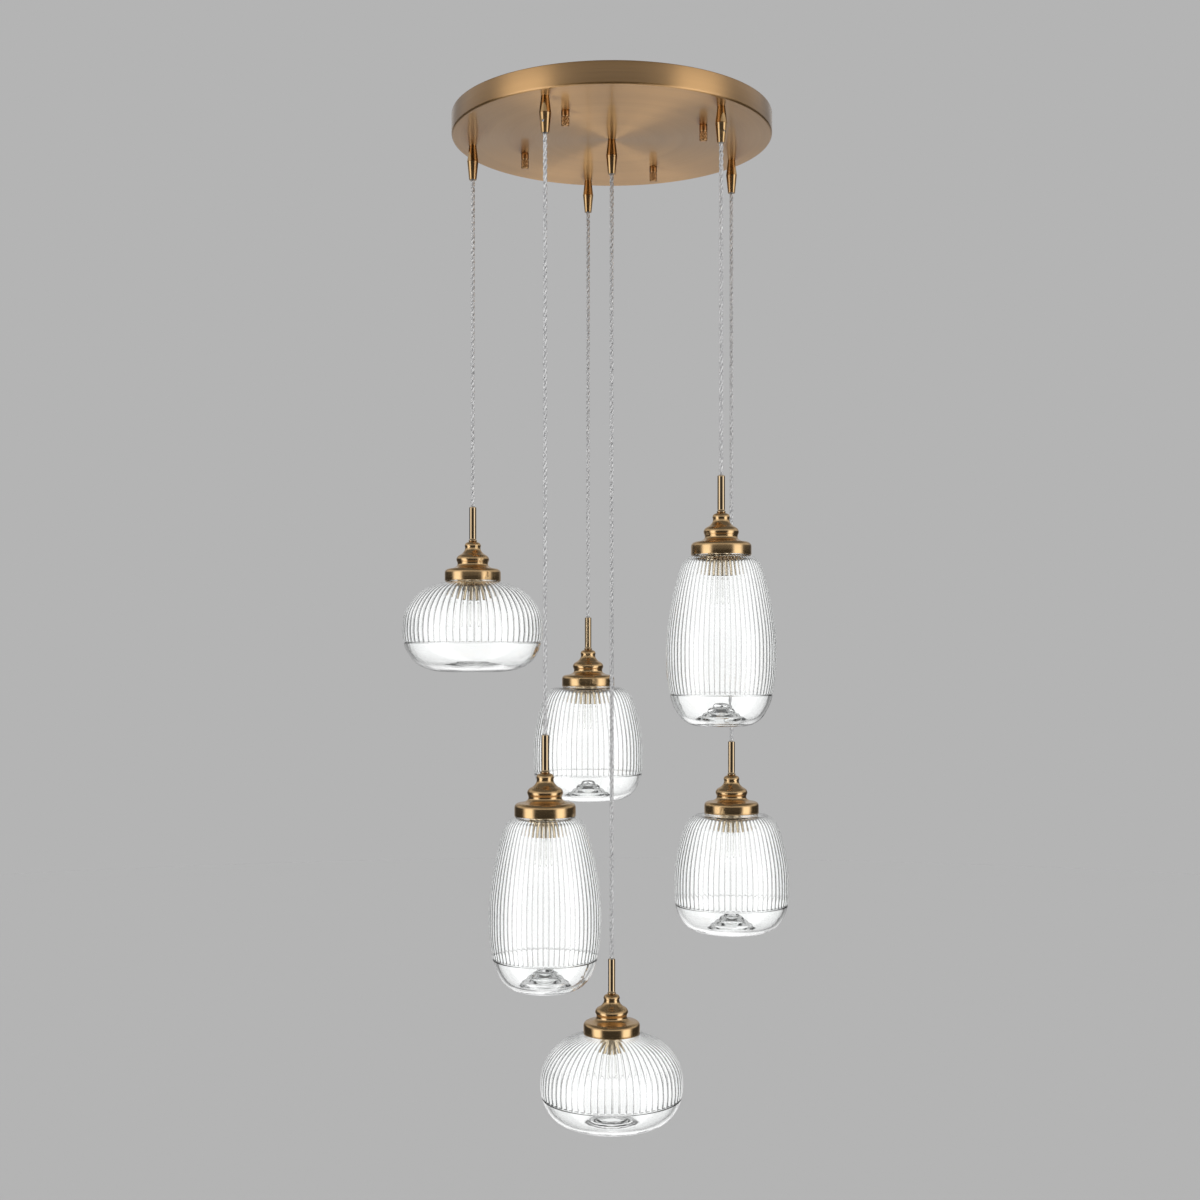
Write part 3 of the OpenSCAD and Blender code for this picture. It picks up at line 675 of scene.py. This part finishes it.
cap_profile = np.concatenate([
    rim, shoulder, cap_bend, [(STEM_R + 0.6 * MM, CAP_H), (CAP_HOLE_R, CAP_H), (CAP_HOLE_R, ceiling_z)],
    cap_inside, [(CAP_R - CAP_WALL, INNER_EDGE), (CAP_R - CAP_WALL + INNER_EDGE, 0)],
])[::-1]
stem_top = CAP_H + STEM_H
stem_foot = CAP_H - STEM_FOOT_L
stem_profile = np.concatenate([
    [(BORE_R, stem_foot), (STEM_FOOT_R, stem_foot), (STEM_FOOT_R, CAP_H)],
    fillet((STEM_R, CAP_H + BEAD_R), BEAD_R, -90, 90, 6),
    [(STEM_R, CAP_H + 4 * MM), (STEM_R, stem_top - 2 * MM)],
    fillet((STEM_R - STEM_EDGE, stem_top - STEM_EDGE), STEM_EDGE, 0, 90, 4),
    [(BORE_R + INNER_EDGE, stem_top), (BORE_R, stem_top - INNER_EDGE)],
])[::-1]

for pendant in pendants:
    centre = (pendant.x, pendant.y, pendant.rim_z)
    cap = closed_lathe(pendant.named("turned_cap"), cap_profile, CAP_COLUMNS, centre)
    mark_turned(cap, cap_profile, CAP_COLUMNS)
    dress(cap, cap_brass, pendant.named("pendant"), "cap_brass", pendant.named("cap"))
    stem = closed_lathe(pendant.named("polished_stem"), stem_profile, STEM_COLUMNS, centre)
    mark_turned(stem, stem_profile, STEM_COLUMNS)
    dress(stem, polished_brass, pendant.named("pendant"), "polished_brass", pendant.named("stem"))

# %% [markdown]
# ## The glass shades
#
# A shade is pressed in a mould that is smooth outside, while the plunger leaves upright ribs inside. The
# outside is a turned curve with a fine ring line. The inside is turned too, but its radius also depends on
# the angle: each rib stands inwards with a flat crown, so narrow valleys lie between broad ribs. The ribs
# fade in under the neck and stop short just above the ring line. Below it the glass is clear, and its floor
# rises in steps to a peak.

# %% Shade shapes
# For each kind of shade: its radius, its height, and its outline as shares of both, from the cap down.
SHADES = {
    "squat": (100.45 * MM, 130 * MM, [
        (0.50, 0.028), (0.64, 0.07), (0.78, 0.142), (0.90, 0.25), (0.975, 0.37), (1, 0.50), (0.998, 0.60),
        (0.965, 0.72), (0.89, 0.835), (0.77, 0.925), (0.60, 0.98), (0.42, 1)]),
    "tall": (73.45 * MM, 226 * MM, [
        (0.59, 0.012), (0.68, 0.036), (0.755, 0.09), (0.85, 0.20), (0.93, 0.33), (0.985, 0.46), (1, 0.58),
        (0.985, 0.70), (0.93, 0.81), (0.86, 0.885), (0.74, 0.95), (0.60, 0.985), (0.46, 1)]),
    "medium": (84.45 * MM, 175 * MM, [
        (0.53, 0.008), (0.65, 0.02), (0.75, 0.06), (0.84, 0.14), (0.92, 0.27), (0.98, 0.42), (1, 0.56),
        (0.995, 0.70), (0.96, 0.80), (0.89, 0.88), (0.78, 0.945), (0.62, 0.985), (0.45, 1)]),
}
GLASS_WALL = 5 * MM
NECK_R = 34 * MM
NECK_WALL = 4 * MM
NECK_H = 10 * MM
NECK_EDGE = 0.6 * MM
UNDER_CAP = (CAP_R - 1 * MM, -0.5 * MM)
FOOT_H = 42 * MM
GROOVE_R = 1.25 * MM
# Close rows outside, through the ring line, in radii of its groove, and inside, where the ribs end above it.
GROOVE_ROWS = np.array([2.2, 1.3, 1, 0.8, 0.5, 0, -0.5, -0.8, -1, -1.3, -2.2])
RIB_END_ROWS = np.array([5, 3.2, 2.2, 1.6, 1.1, 0.6]) * MM
ROW_GAP = 0.5 * MM
AXIS_R = 0.1 * MM
KICK_R = 33 * MM
KICK_FOOT_W = 3 * MM
STEP_RUN = np.array([0, 0.33, 1, 1.4, 2])
STEP_RISE = np.array([0, 0.35, 0.75, 0.88, 0.95])
# Points of the hollow under the kick-up and of its peak: a radius, and a share of the kick-up's height.
HOLLOW = [(0.42 * KICK_R, 0.48), (6 * MM, 0.72), (2.5 * MM, 0.785), (AXIS_R, 0.8)]
PEAK = [(0.12 * KICK_R, 1), (0.05 * KICK_R, 1.01), (AXIS_R, 1.012)]
# For each kind of shade: the kick-up's height, its steps, a step's run, and the room left for the peak. The
# last two are in step widths.
KICKS = {"squat": (6 * MM, 2, 0.08, 1.45), "tall": (25 * MM, 4, 0.3, 0.6),
         "medium": (25 * MM, 4, 0.3, 0.6)}
RIBS = 64
RIB_SHARE = 0.22
RIB_TOP_Z = -4 * MM
RIB_FADE_L = 12 * MM
RIB_END_L = 1.1 * MM
# One rib: places across its share of the wall, and how far it stands out there.
RIB_SHAPE = [(0, 0), (0.06, 0.32), (0.13, 0.68), (0.23, 0.93), (0.5, 1), (0.77, 0.93), (0.87, 0.68),
             (0.94, 0.32)]


def by_height(curve, z):
    """The radius of an outline at given heights below the rim."""
    order = np.argsort(curve[:, 1])
    return np.interp(z, curve[order, 1], curve[order, 0])


def shade_curve(kind, steps):
    """The outline below the cap: a smooth curve through points given as shares of the radius and height."""
    radius, height, shares = SHADES[kind]
    curve = smooth_curve([(share * radius, -fall * height) for share, fall in shares], steps)
    return np.concatenate([[UNDER_CAP], curve])


def outer_rows(kind):
    """The outside, from the top of the neck to the middle of the foot, with close rows at the ring line. The
    line is cut by a half circle, whose depth at a distance d from its middle is sqrt(r * r - d * d)."""
    height = SHADES[kind][1]
    kick_h = KICKS[kind][0]
    line_z = FOOT_H - height
    curve = shade_curve(kind, 4)
    near = np.abs(curve[:, 1] - line_z) < GROOVE_ROWS[0] * GROOVE_R
    groove_z = line_z + GROOVE_R * GROOVE_ROWS
    cut = GROOVE_R * np.sqrt(np.clip(1 - GROOVE_ROWS**2, 0, 1))
    groove = np.stack([by_height(curve, groove_z) - cut, groove_z], axis=-1)
    split = int(np.argmax(curve[:, 1] < line_z))
    above, below = curve[:split][~near[:split]], curve[split:][~near[split:]]
    neck = [(NECK_R - NECK_EDGE, NECK_H), (NECK_R, NECK_H - NECK_EDGE), (NECK_R, NECK_EDGE),
            (NECK_R + 0.5 * MM, -0.2 * MM)]
    foot = [(KICK_R, -height), (KICK_R - KICK_FOOT_W, -height), (KICK_R - 5 * MM, 1.5 * MM - height)]
    hollow = [(hollow_r, kick_h * share - height) for hollow_r, share in HOLLOW]
    return np.concatenate([neck, above, groove, below, foot, hollow])


def kick_rows(kind, base_z):
    """The stepped kick-up in the floor: each step is a slope, a rounded edge and a tread. The radius falls
    evenly with the step's number plus its run, and the height rises with the number plus its rise."""
    kick_h, steps, run, room = KICKS[kind]
    level = np.arange(steps)[:, None]
    r = KICK_R * (1 - (level + run * STEP_RUN) / (steps + room))
    z = base_z + kick_h * (level + STEP_RISE) / steps
    peak = [(peak_r, base_z + kick_h * share) for peak_r, share in PEAK]
    return np.concatenate([np.stack([r, z], axis=-1).reshape(-1, 2), peak])


def inner_rows(kind):
    """The inside, from the neck's bore to the peak of the floor. Returns the rows and how far the ribs
    stand out at each, as a share: the root of a fade below the neck times the root of one above the line."""
    height = SHADES[kind][1]
    line_z = FOOT_H - height
    bore = NECK_R - NECK_WALL
    wall = moved_inwards(shade_curve(kind, 5), GLASS_WALL)
    wall = wall[(wall[:, 0] > bore + 2 * MM) & (wall[:, 0] > KICK_R + 1 * MM)]
    close_z = line_z + RIB_END_ROWS
    split = int(np.argmax(wall[:, 1] < close_z[0] + ROW_GAP))
    later = wall[split:]
    later = later[later[:, 1] < line_z - ROW_GAP]
    close = np.stack([by_height(wall, close_z), close_z], axis=-1)
    neck = [(bore + NECK_EDGE, NECK_H), (bore, NECK_H - NECK_EDGE), (bore, 2 * MM), (bore, -3 * MM),
            (bore + 1 * MM, -4.6 * MM)]
    rows = np.concatenate([neck, wall[:split], close, later, kick_rows(kind, GLASS_WALL - height)])
    z = rows[:, 1]
    fade_in = np.clip((RIB_TOP_Z - z) / RIB_FADE_L, 0, 1)
    fade_out = np.clip((z - (line_z + RIB_END_L)) / RIB_END_L, 0, 1)
    ribs = np.sqrt(fade_in) * np.sqrt(fade_out)
    ribs[:len(neck)] = 0
    return rows, ribs


def shade_part(kind, centre):
    """Outside rows from the foot up to the neck, then inside rows from the neck down to the floor's peak, so
    that the two surfaces join at the neck. A rib's height is a share of the room it has round the wall."""
    outside = outer_rows(kind)
    rows, ribs = inner_rows(kind)
    place, wave = np.array(RIB_SHAPE).T
    turn = ((np.arange(RIBS)[:, None] + place) * 2 * np.pi / RIBS).ravel()
    wave = np.tile(wave, RIBS)
    columns = len(turn)
    height = RIB_SHARE * 2 * np.pi * rows[:, 0] / RIBS * ribs
    inner_r = rows[:, :1] - height[:, None] * wave[None, :]
    outer_r = np.broadcast_to(outside[:, :1], (len(outside), columns))
    r = np.concatenate([outer_r[::-1], inner_r])
    z = np.concatenate([outside[::-1, 1], rows[:, 1]])[:, None] * np.ones(columns)
    points = np.stack([r * np.cos(turn), r * np.sin(turn), z], axis=-1).reshape(-1, 3) + np.asarray(centre)
    return closed_grid(points, len(r), columns)


for pendant in pendants:
    shade = shade_part(pendant.kind, (pendant.x, pendant.y, pendant.rim_z))
    glass = build_mesh(pendant.named("ribbed_glass"), *shade)
    dress(glass, clear_glass, pendant.named("shade"), "clear_glass", pendant.named("glass"))
    glass.visible_shadow = False

# %% [markdown]
# ## The bulbs
#
# Each bulb is a small clear capsule with a pinched foot. A coiled filament stands in it between two thin
# wires. The light is off, as in the photograph, so the coil shows only as a small dark mark.

# %% Bulb helpers
BULB_SHOULDER_R = 2.5 * MM
BULB_SHOULDER_H = 4 * MM
BULB_AXIS_R = 0.08 * MM


def capsule_profile(r, tip, top):
    """A round end at the tip, a straight side, and a drawn-in shoulder at the top."""
    return np.concatenate([
        [(BULB_AXIS_R, tip)], fillet((0, tip + r), r, -78, 0, 9), [(r, top - 5 * MM)],
        fillet((r - BULB_SHOULDER_R, top - BULB_SHOULDER_H), BULB_SHOULDER_R, 15, 80, 4),
        [(r * 0.35, top), (BULB_AXIS_R, top)]])


def turned_part(profile, columns, centre):
    """Points, faces and end faces of a turned piece whose ends shrink to the axis."""
    return closed_grid(lathe(profile, columns, centre), len(profile), columns)


def tube_along(line, r, sides):
    """A tube along a line of points: at each point a ring square to the line, built on two crossed sides."""
    line = np.asarray(line, float)
    along = np.gradient(line, axis=0)
    along /= np.linalg.norm(along, axis=1, keepdims=True)
    helper = np.where(np.abs(along[:, :1]) < 0.9, [[1.0, 0, 0]], [[0, 1.0, 0]])
    side = np.cross(along, helper)
    side /= np.linalg.norm(side, axis=1, keepdims=True)
    ring = circles(side, np.cross(along, side), sides)
    return closed_grid((line[:, None, :] + r * ring).reshape(-1, 3), len(line), sides)


# %% Bulbs
BULB_R = 7 * MM
BULB_WALL = 0.9 * MM
BULB_COLUMNS = 40
SOCKET_Z = -22 * MM
BULB_TIP = SOCKET_Z - 44 * MM
BULB_TOP = SOCKET_Z - 8.5 * MM
COIL_TURNS = 8
COIL_POINTS_ROUND = 12
COIL_R = 1.4 * MM
COIL_WIRE_R = 0.3 * MM
COIL_TOP = SOCKET_Z - 12 * MM
COIL_FOOT = SOCKET_Z - 35 * MM
WIRE_OVER = 0.5 * MM
WIRE_X = 2.6 * MM
WIRE_TOP = SOCKET_Z - 9 * MM
WIRE_R = 0.22 * MM
PIN_X = 4.5 * MM
PIN_TOP = SOCKET_Z + 7 * MM
PIN_FOOT = SOCKET_Z - 10 * MM
PIN_R = 0.6 * MM
WIRE_SIDES = 6
PIN_SIDES = 10

outer_glass = capsule_profile(BULB_R, BULB_TIP, BULB_TOP)
inner_glass = capsule_profile(BULB_R - BULB_WALL, BULB_TIP + BULB_WALL, BULB_TOP - 1 * MM)
coil_turn = np.linspace(0, 2 * np.pi * COIL_TURNS, COIL_TURNS * COIL_POINTS_ROUND)
coil = np.stack([COIL_R * np.cos(coil_turn), COIL_R * np.sin(coil_turn),
                 np.linspace(COIL_TOP, COIL_FOOT, len(coil_turn))], axis=-1)
pin_lines = np.array([[(side * PIN_X, 0, PIN_TOP), (side * PIN_X, 0, PIN_FOOT)] for side in (-1, 1)])
wire_lines = np.array([[(side * WIRE_X, 0, WIRE_TOP), (side * WIRE_X, 0, end_z), (side * COIL_R, 0, end_z)]
                       for side, end_z in ((-1, COIL_FOOT - WIRE_OVER), (1, COIL_TOP + WIRE_OVER))])
for pendant in pendants:
    centre = np.array([pendant.x, pendant.y, pendant.rim_z])
    outside = turned_part(outer_glass, BULB_COLUMNS, centre)
    inside = inside_out(turned_part(inner_glass, BULB_COLUMNS, centre))
    envelope = merge_meshes(pendant.named("bulb_capsule"), [outside, inside])
    dress(envelope, bulb_glass, pendant.named("pendant"), "bulb_glass", pendant.named("bulb"))
    filament = build_mesh(pendant.named("filament"), *tube_along(coil + centre, COIL_WIRE_R, WIRE_SIDES))
    dress(filament, tungsten, pendant.named("pendant"), "bulb_glass")
    pins = [tube_along(line + centre, PIN_R, PIN_SIDES) for line in pin_lines]
    leads = [tube_along(line + centre, WIRE_R, WIRE_SIDES) for line in wire_lines]
    metal = merge_meshes(pendant.named("bulb_wires"), pins + leads)
    dress(metal, zinc_steel, pendant.named("pendant"), "zinc_steel")

# %% [markdown]
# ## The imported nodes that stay
#
# The bracket and the other pieces inside the canopy, the grips and their set screws, the lampholder cups and
# the sockets have their true shape already, so they only take a finish.

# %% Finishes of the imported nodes
NODE_FINISH = {
    "ceiling_bracket": bracket_steel, "bracket_studs": zinc_steel, "grip_lock_nuts": zinc_steel,
    "grip_set_screws": dark_steel, "cord_grips": grip_brass, "terminal_block": block_plastic,
    "terminal_screws": screw_brass, "earth_terminal": earth_paint, "inner_leads": clear_cable,
}
for pendant in pendants:
    NODE_FINISH[pendant.named("holder_cup")] = holder_brass
    NODE_FINISH[pendant.named("socket")] = ceramic_white
for name, material in NODE_FINISH.items():
    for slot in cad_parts[name].material_slots:
        slot.material = material
print(len(NODE_FINISH), "packed nodes dressed")

# %% [markdown]
# ## The studio
#
# The background is one flat grey all round. The world shows that grey to the camera, while metal and glass
# meet a studio. Two soft upright strips of light stand left and right of the camera and give turned brass its
# two bright bands. The room behind the camera is dark, so the middle and the edges of a tube stay dark. A
# bright field stands behind the glass, a slightly dimmer one stands beside it, and the ribs bend the darker
# levels in front into fine lines. The floor lies far below and carries the same lights, so a pendant near it
# looks like one higher up.


# %% Studio helpers
class NodeSums:
    """Sums made of nodes. Each method adds one node to the tree and returns its output."""

    def __init__(self, tree):
        self.tree = tree

    def math(self, operation, *values):
        """A Math node whose inputs are numbers or other nodes' outputs."""
        made = self.tree.nodes.new("ShaderNodeMath")
        made.operation = operation
        for socket, value in zip(made.inputs, values):
            if isinstance(value, (int, float)):
                socket.default_value = value
            else:
                self.tree.links.new(value, socket)
        return made.outputs[0]

    def rise(self, value, low, high):
        """A smooth rise from 0 to 1 as value goes from low to high."""
        made = self.tree.nodes.new("ShaderNodeMapRange")
        made.interpolation_type = "SMOOTHSTEP"
        self.tree.links.new(value, made.inputs["Value"])
        made.inputs["From Min"].default_value = low
        made.inputs["From Max"].default_value = high
        return made.outputs["Result"]

    def blend(self, factor, from_value, to_value):
        """from_value + factor * (to_value - from_value)."""
        gap = self.math("SUBTRACT", to_value, from_value)
        return self.math("ADD", self.math("MULTIPLY", gap, factor), from_value)


def studio_round(sums, across, ahead, high, back_level):
    """How bright the studio stands at one angle round the object, for metal and for glass. The angle runs
    from 0 at the camera to 180 degrees straight behind the object, on both sides. Towards the ceiling, where
    high is 1, the strips fade, the room grows lighter and the wall behind grows darker. Lower down that wall
    adds back_level."""
    turn = sums.math("ARCTAN2", across, sums.math("MULTIPLY", ahead, -1))
    angle = sums.math("DEGREES", sums.math("ABSOLUTE", turn))
    strip_end = sums.blend(sums.rise(angle, *STRIP_FALL), 1, 0)
    strip = sums.math("MULTIPLY", sums.rise(angle, *STRIP_RISE), strip_end)
    low_metal = sums.math("MULTIPLY_ADD", strip, STRIP_LEVEL, ROOM_LEVEL)
    soft_end = sums.blend(sums.rise(angle, *SOFT_FALL), 1, 0)
    soft = sums.math("MULTIPLY", sums.rise(angle, *SOFT_RISE), soft_end)
    high_room = sums.blend(sums.rise(angle, *HIGH_BACK_RISE), HIGH_ROOM_LEVEL, HIGH_BACK_LEVEL)
    high_metal = sums.math("MULTIPLY_ADD", soft, SOFT_LEVEL, high_room)
    metal = sums.blend(high, low_metal, high_metal)
    metal = sums.math("MULTIPLY_ADD", sums.rise(angle, *BACK_RISE), back_level, metal)
    beside = sums.blend(sums.rise(angle, *FLAG_RISE), FLAG_LEVEL, FIELD_LEVEL)
    glass = sums.blend(sums.rise(angle, *FRONT_FALL), FRONT_LEVEL, beside)
    return metal, glass


def mirror_share(sums, path):
    """How much a ray sees of the lights for metal: all of them after a reflection, and a share of them where
    it has also passed through glass since."""
    reflected = sums.math("MINIMUM", path.outputs["Glossy Depth"], 1)
    share = sums.blend(path.outputs["Is Transmission Ray"], 1, MIRRORED_SHARE)
    return sums.math("MULTIPLY", reflected, share)


# %% World
# Levels are brightnesses. A pair says where a change starts and ends: HIGH_RISE, TOP_RISE and STEEP_RISE in
# the upward part of a direction, and the others in degrees round the object.
BACKGROUND = 0.4564
DIFFUSE_LEVEL = 0.62
MIRRORED_SHARE = 0.8
ROOM_LEVEL = 0.055
STRIP_LEVEL = 1.75
STRIP_RISE = (36, 52)
STRIP_FALL = (70, 92)
HIGH_RISE = (0.08, 0.3)
HIGH_ROOM_LEVEL = 0.62
HIGH_BACK_LEVEL = 0.15
HIGH_BACK_RISE = (120, 160)
SOFT_LEVEL = 0.29
SOFT_RISE = (10, 58)
SOFT_FALL = (58, 104)
BACK_LEVEL = 0.36
BACK_RISE = (138, 165)
FIELD_LEVEL = 1.16
FLAG_LEVEL = 0.85
FLAG_RISE = (110, 128)
FRONT_LEVEL = 0.75
FRONT_FALL = (40, 70)
TOP_LEVEL = 0.16
TOP_RISE = (0.45, 0.75)
STEEP_LEVEL = 0.03
STEEP_RISE = (0.5, 0.7)
world = bpy.data.worlds.new("studio")
scene.world = world
world.use_nodes = True
tree = world.node_tree
tree.nodes.clear()
sums = NodeSums(tree)
direction = tree.nodes.new("ShaderNodeSeparateXYZ")
tree.links.new(tree.nodes.new("ShaderNodeTexCoord").outputs["Generated"], direction.inputs[0])
across, ahead, up = direction.outputs
metal_level, glass_level = studio_round(sums, across, ahead, sums.rise(up, *HIGH_RISE), BACK_LEVEL)
metal_level = sums.blend(sums.rise(up, *TOP_RISE), metal_level, TOP_LEVEL)
glass_level = sums.blend(sums.rise(up, *STEEP_RISE), glass_level, STEEP_LEVEL)
path = tree.nodes.new("ShaderNodeLightPath")
level = sums.blend(path.outputs["Is Transmission Ray"], DIFFUSE_LEVEL, glass_level)
level = sums.blend(mirror_share(sums, path), level, metal_level)
level = sums.blend(path.outputs["Is Camera Ray"], level, BACKGROUND)
background = tree.nodes.new("ShaderNodeBackground")
background.inputs["Color"].default_value = (1, 1, 1, 1)
tree.links.new(level, background.inputs["Strength"])
output = tree.nodes.new("ShaderNodeOutputWorld")
tree.links.new(background.outputs[0], output.inputs["Surface"])
print("world nodes", len(tree.nodes))

# %% [markdown]
# ### Lamps
#
# Two soft suns give the pieces that aren't mirrors a little shape. Polished brass and glass would show them
# as hot spots, so they are kept out of reflections and out of light that passes through glass.

# %% Lamps
# For each lamp: its strength, its height above the horizon and its turn, in degrees.
LAMPS = {"key": (1.0, 52, -38), "fill": (0.45, 35, 55)}
LAMP_SPREAD = 30
floor_light = DIFFUSE_LEVEL
for name, (strength, elevation, turn) in LAMPS.items():
    lamp_data = bpy.data.lights.new(name, "SUN")
    lamp_data.energy = strength
    lamp_data.angle = math.radians(LAMP_SPREAD)
    lamp = bpy.data.objects.new(name, lamp_data)
    lamp.rotation_euler = (math.radians(90 - elevation), 0, math.radians(turn))
    lamp.visible_glossy = False
    lamp.visible_transmission = False
    scene.collection.objects.link(lamp)
    floor_light += strength * math.sin(math.radians(elevation)) / math.pi
print("light on a level surface", round(floor_light, 3))

# %% [markdown]
# ### Floor
#
# The floor is one wide pale disc. Its grey is the background's divided by the light that falls on it, so the
# two meet without an edge. A ray that was reflected or has passed through glass sees the studio's lights on
# it instead. Their levels change with the distance from the middle, and a pair gives, in metres, where.

# %% Floor
FLOOR_Z = -2.6
FLOOR_R = 12
FLOOR_COLUMNS = 96
NEAR_LEVEL = 1.1
NEAR_FALL = (2, 7)
STEEP_FALL = (0.5, 1.3)
floor_points = lathe([(FLOOR_R, FLOOR_Z)], FLOOR_COLUMNS)
floor = build_mesh("floor", floor_points, np.zeros((0, 4), int), [list(range(FLOOR_COLUMNS))])
floor_grey = BACKGROUND / floor_light
floor_finish = new_material("floor_finish", (floor_grey,) * 3, Roughness=1, Specular_IOR_Level=0)
tree = floor_finish.node_tree
sums = NodeSums(tree)
place = add_node(floor_finish, "ShaderNodeSeparateXYZ")
join(floor_finish, object_coordinates(floor_finish), (place, "Vector"))
across, ahead = place.outputs[:2]
distance = sums.math("SQRT", sums.math("ADD", sums.math("POWER", across, 2), sums.math("POWER", ahead, 2)))
near_back = sums.blend(sums.rise(distance, *NEAR_FALL), NEAR_LEVEL, BACK_LEVEL)
metal_level, glass_level = studio_round(sums, across, ahead, 0, near_back)
glass_level = sums.blend(sums.rise(distance, *STEEP_FALL), STEEP_LEVEL, glass_level)
ray = add_node(floor_finish, "ShaderNodeLightPath")
seen = sums.blend(mirror_share(sums, ray), glass_level, metal_level)
mirrored = sums.math("MAXIMUM", ray.outputs["Is Glossy Ray"], ray.outputs["Is Transmission Ray"])
lit = add_node(floor_finish, "ShaderNodeEmission")
tree.links.new(seen, lit.inputs["Strength"])
chooser = add_node(floor_finish, "ShaderNodeMixShader")
tree.links.new(mirrored, chooser.inputs["Fac"])
join(floor_finish, (principled(floor_finish), "BSDF"), (chooser, 1), (lit, "Emission"), (chooser, 2),
     (chooser, "Shader"), (tree.nodes["Material Output"], "Surface"))
floor.data.materials.append(floor_finish)

# %% [markdown]
# ## Last steps
#
# The picture keeps plain colours, so the view transform is Standard.

# %% The end
scene.view_settings.view_transform = "Standard"
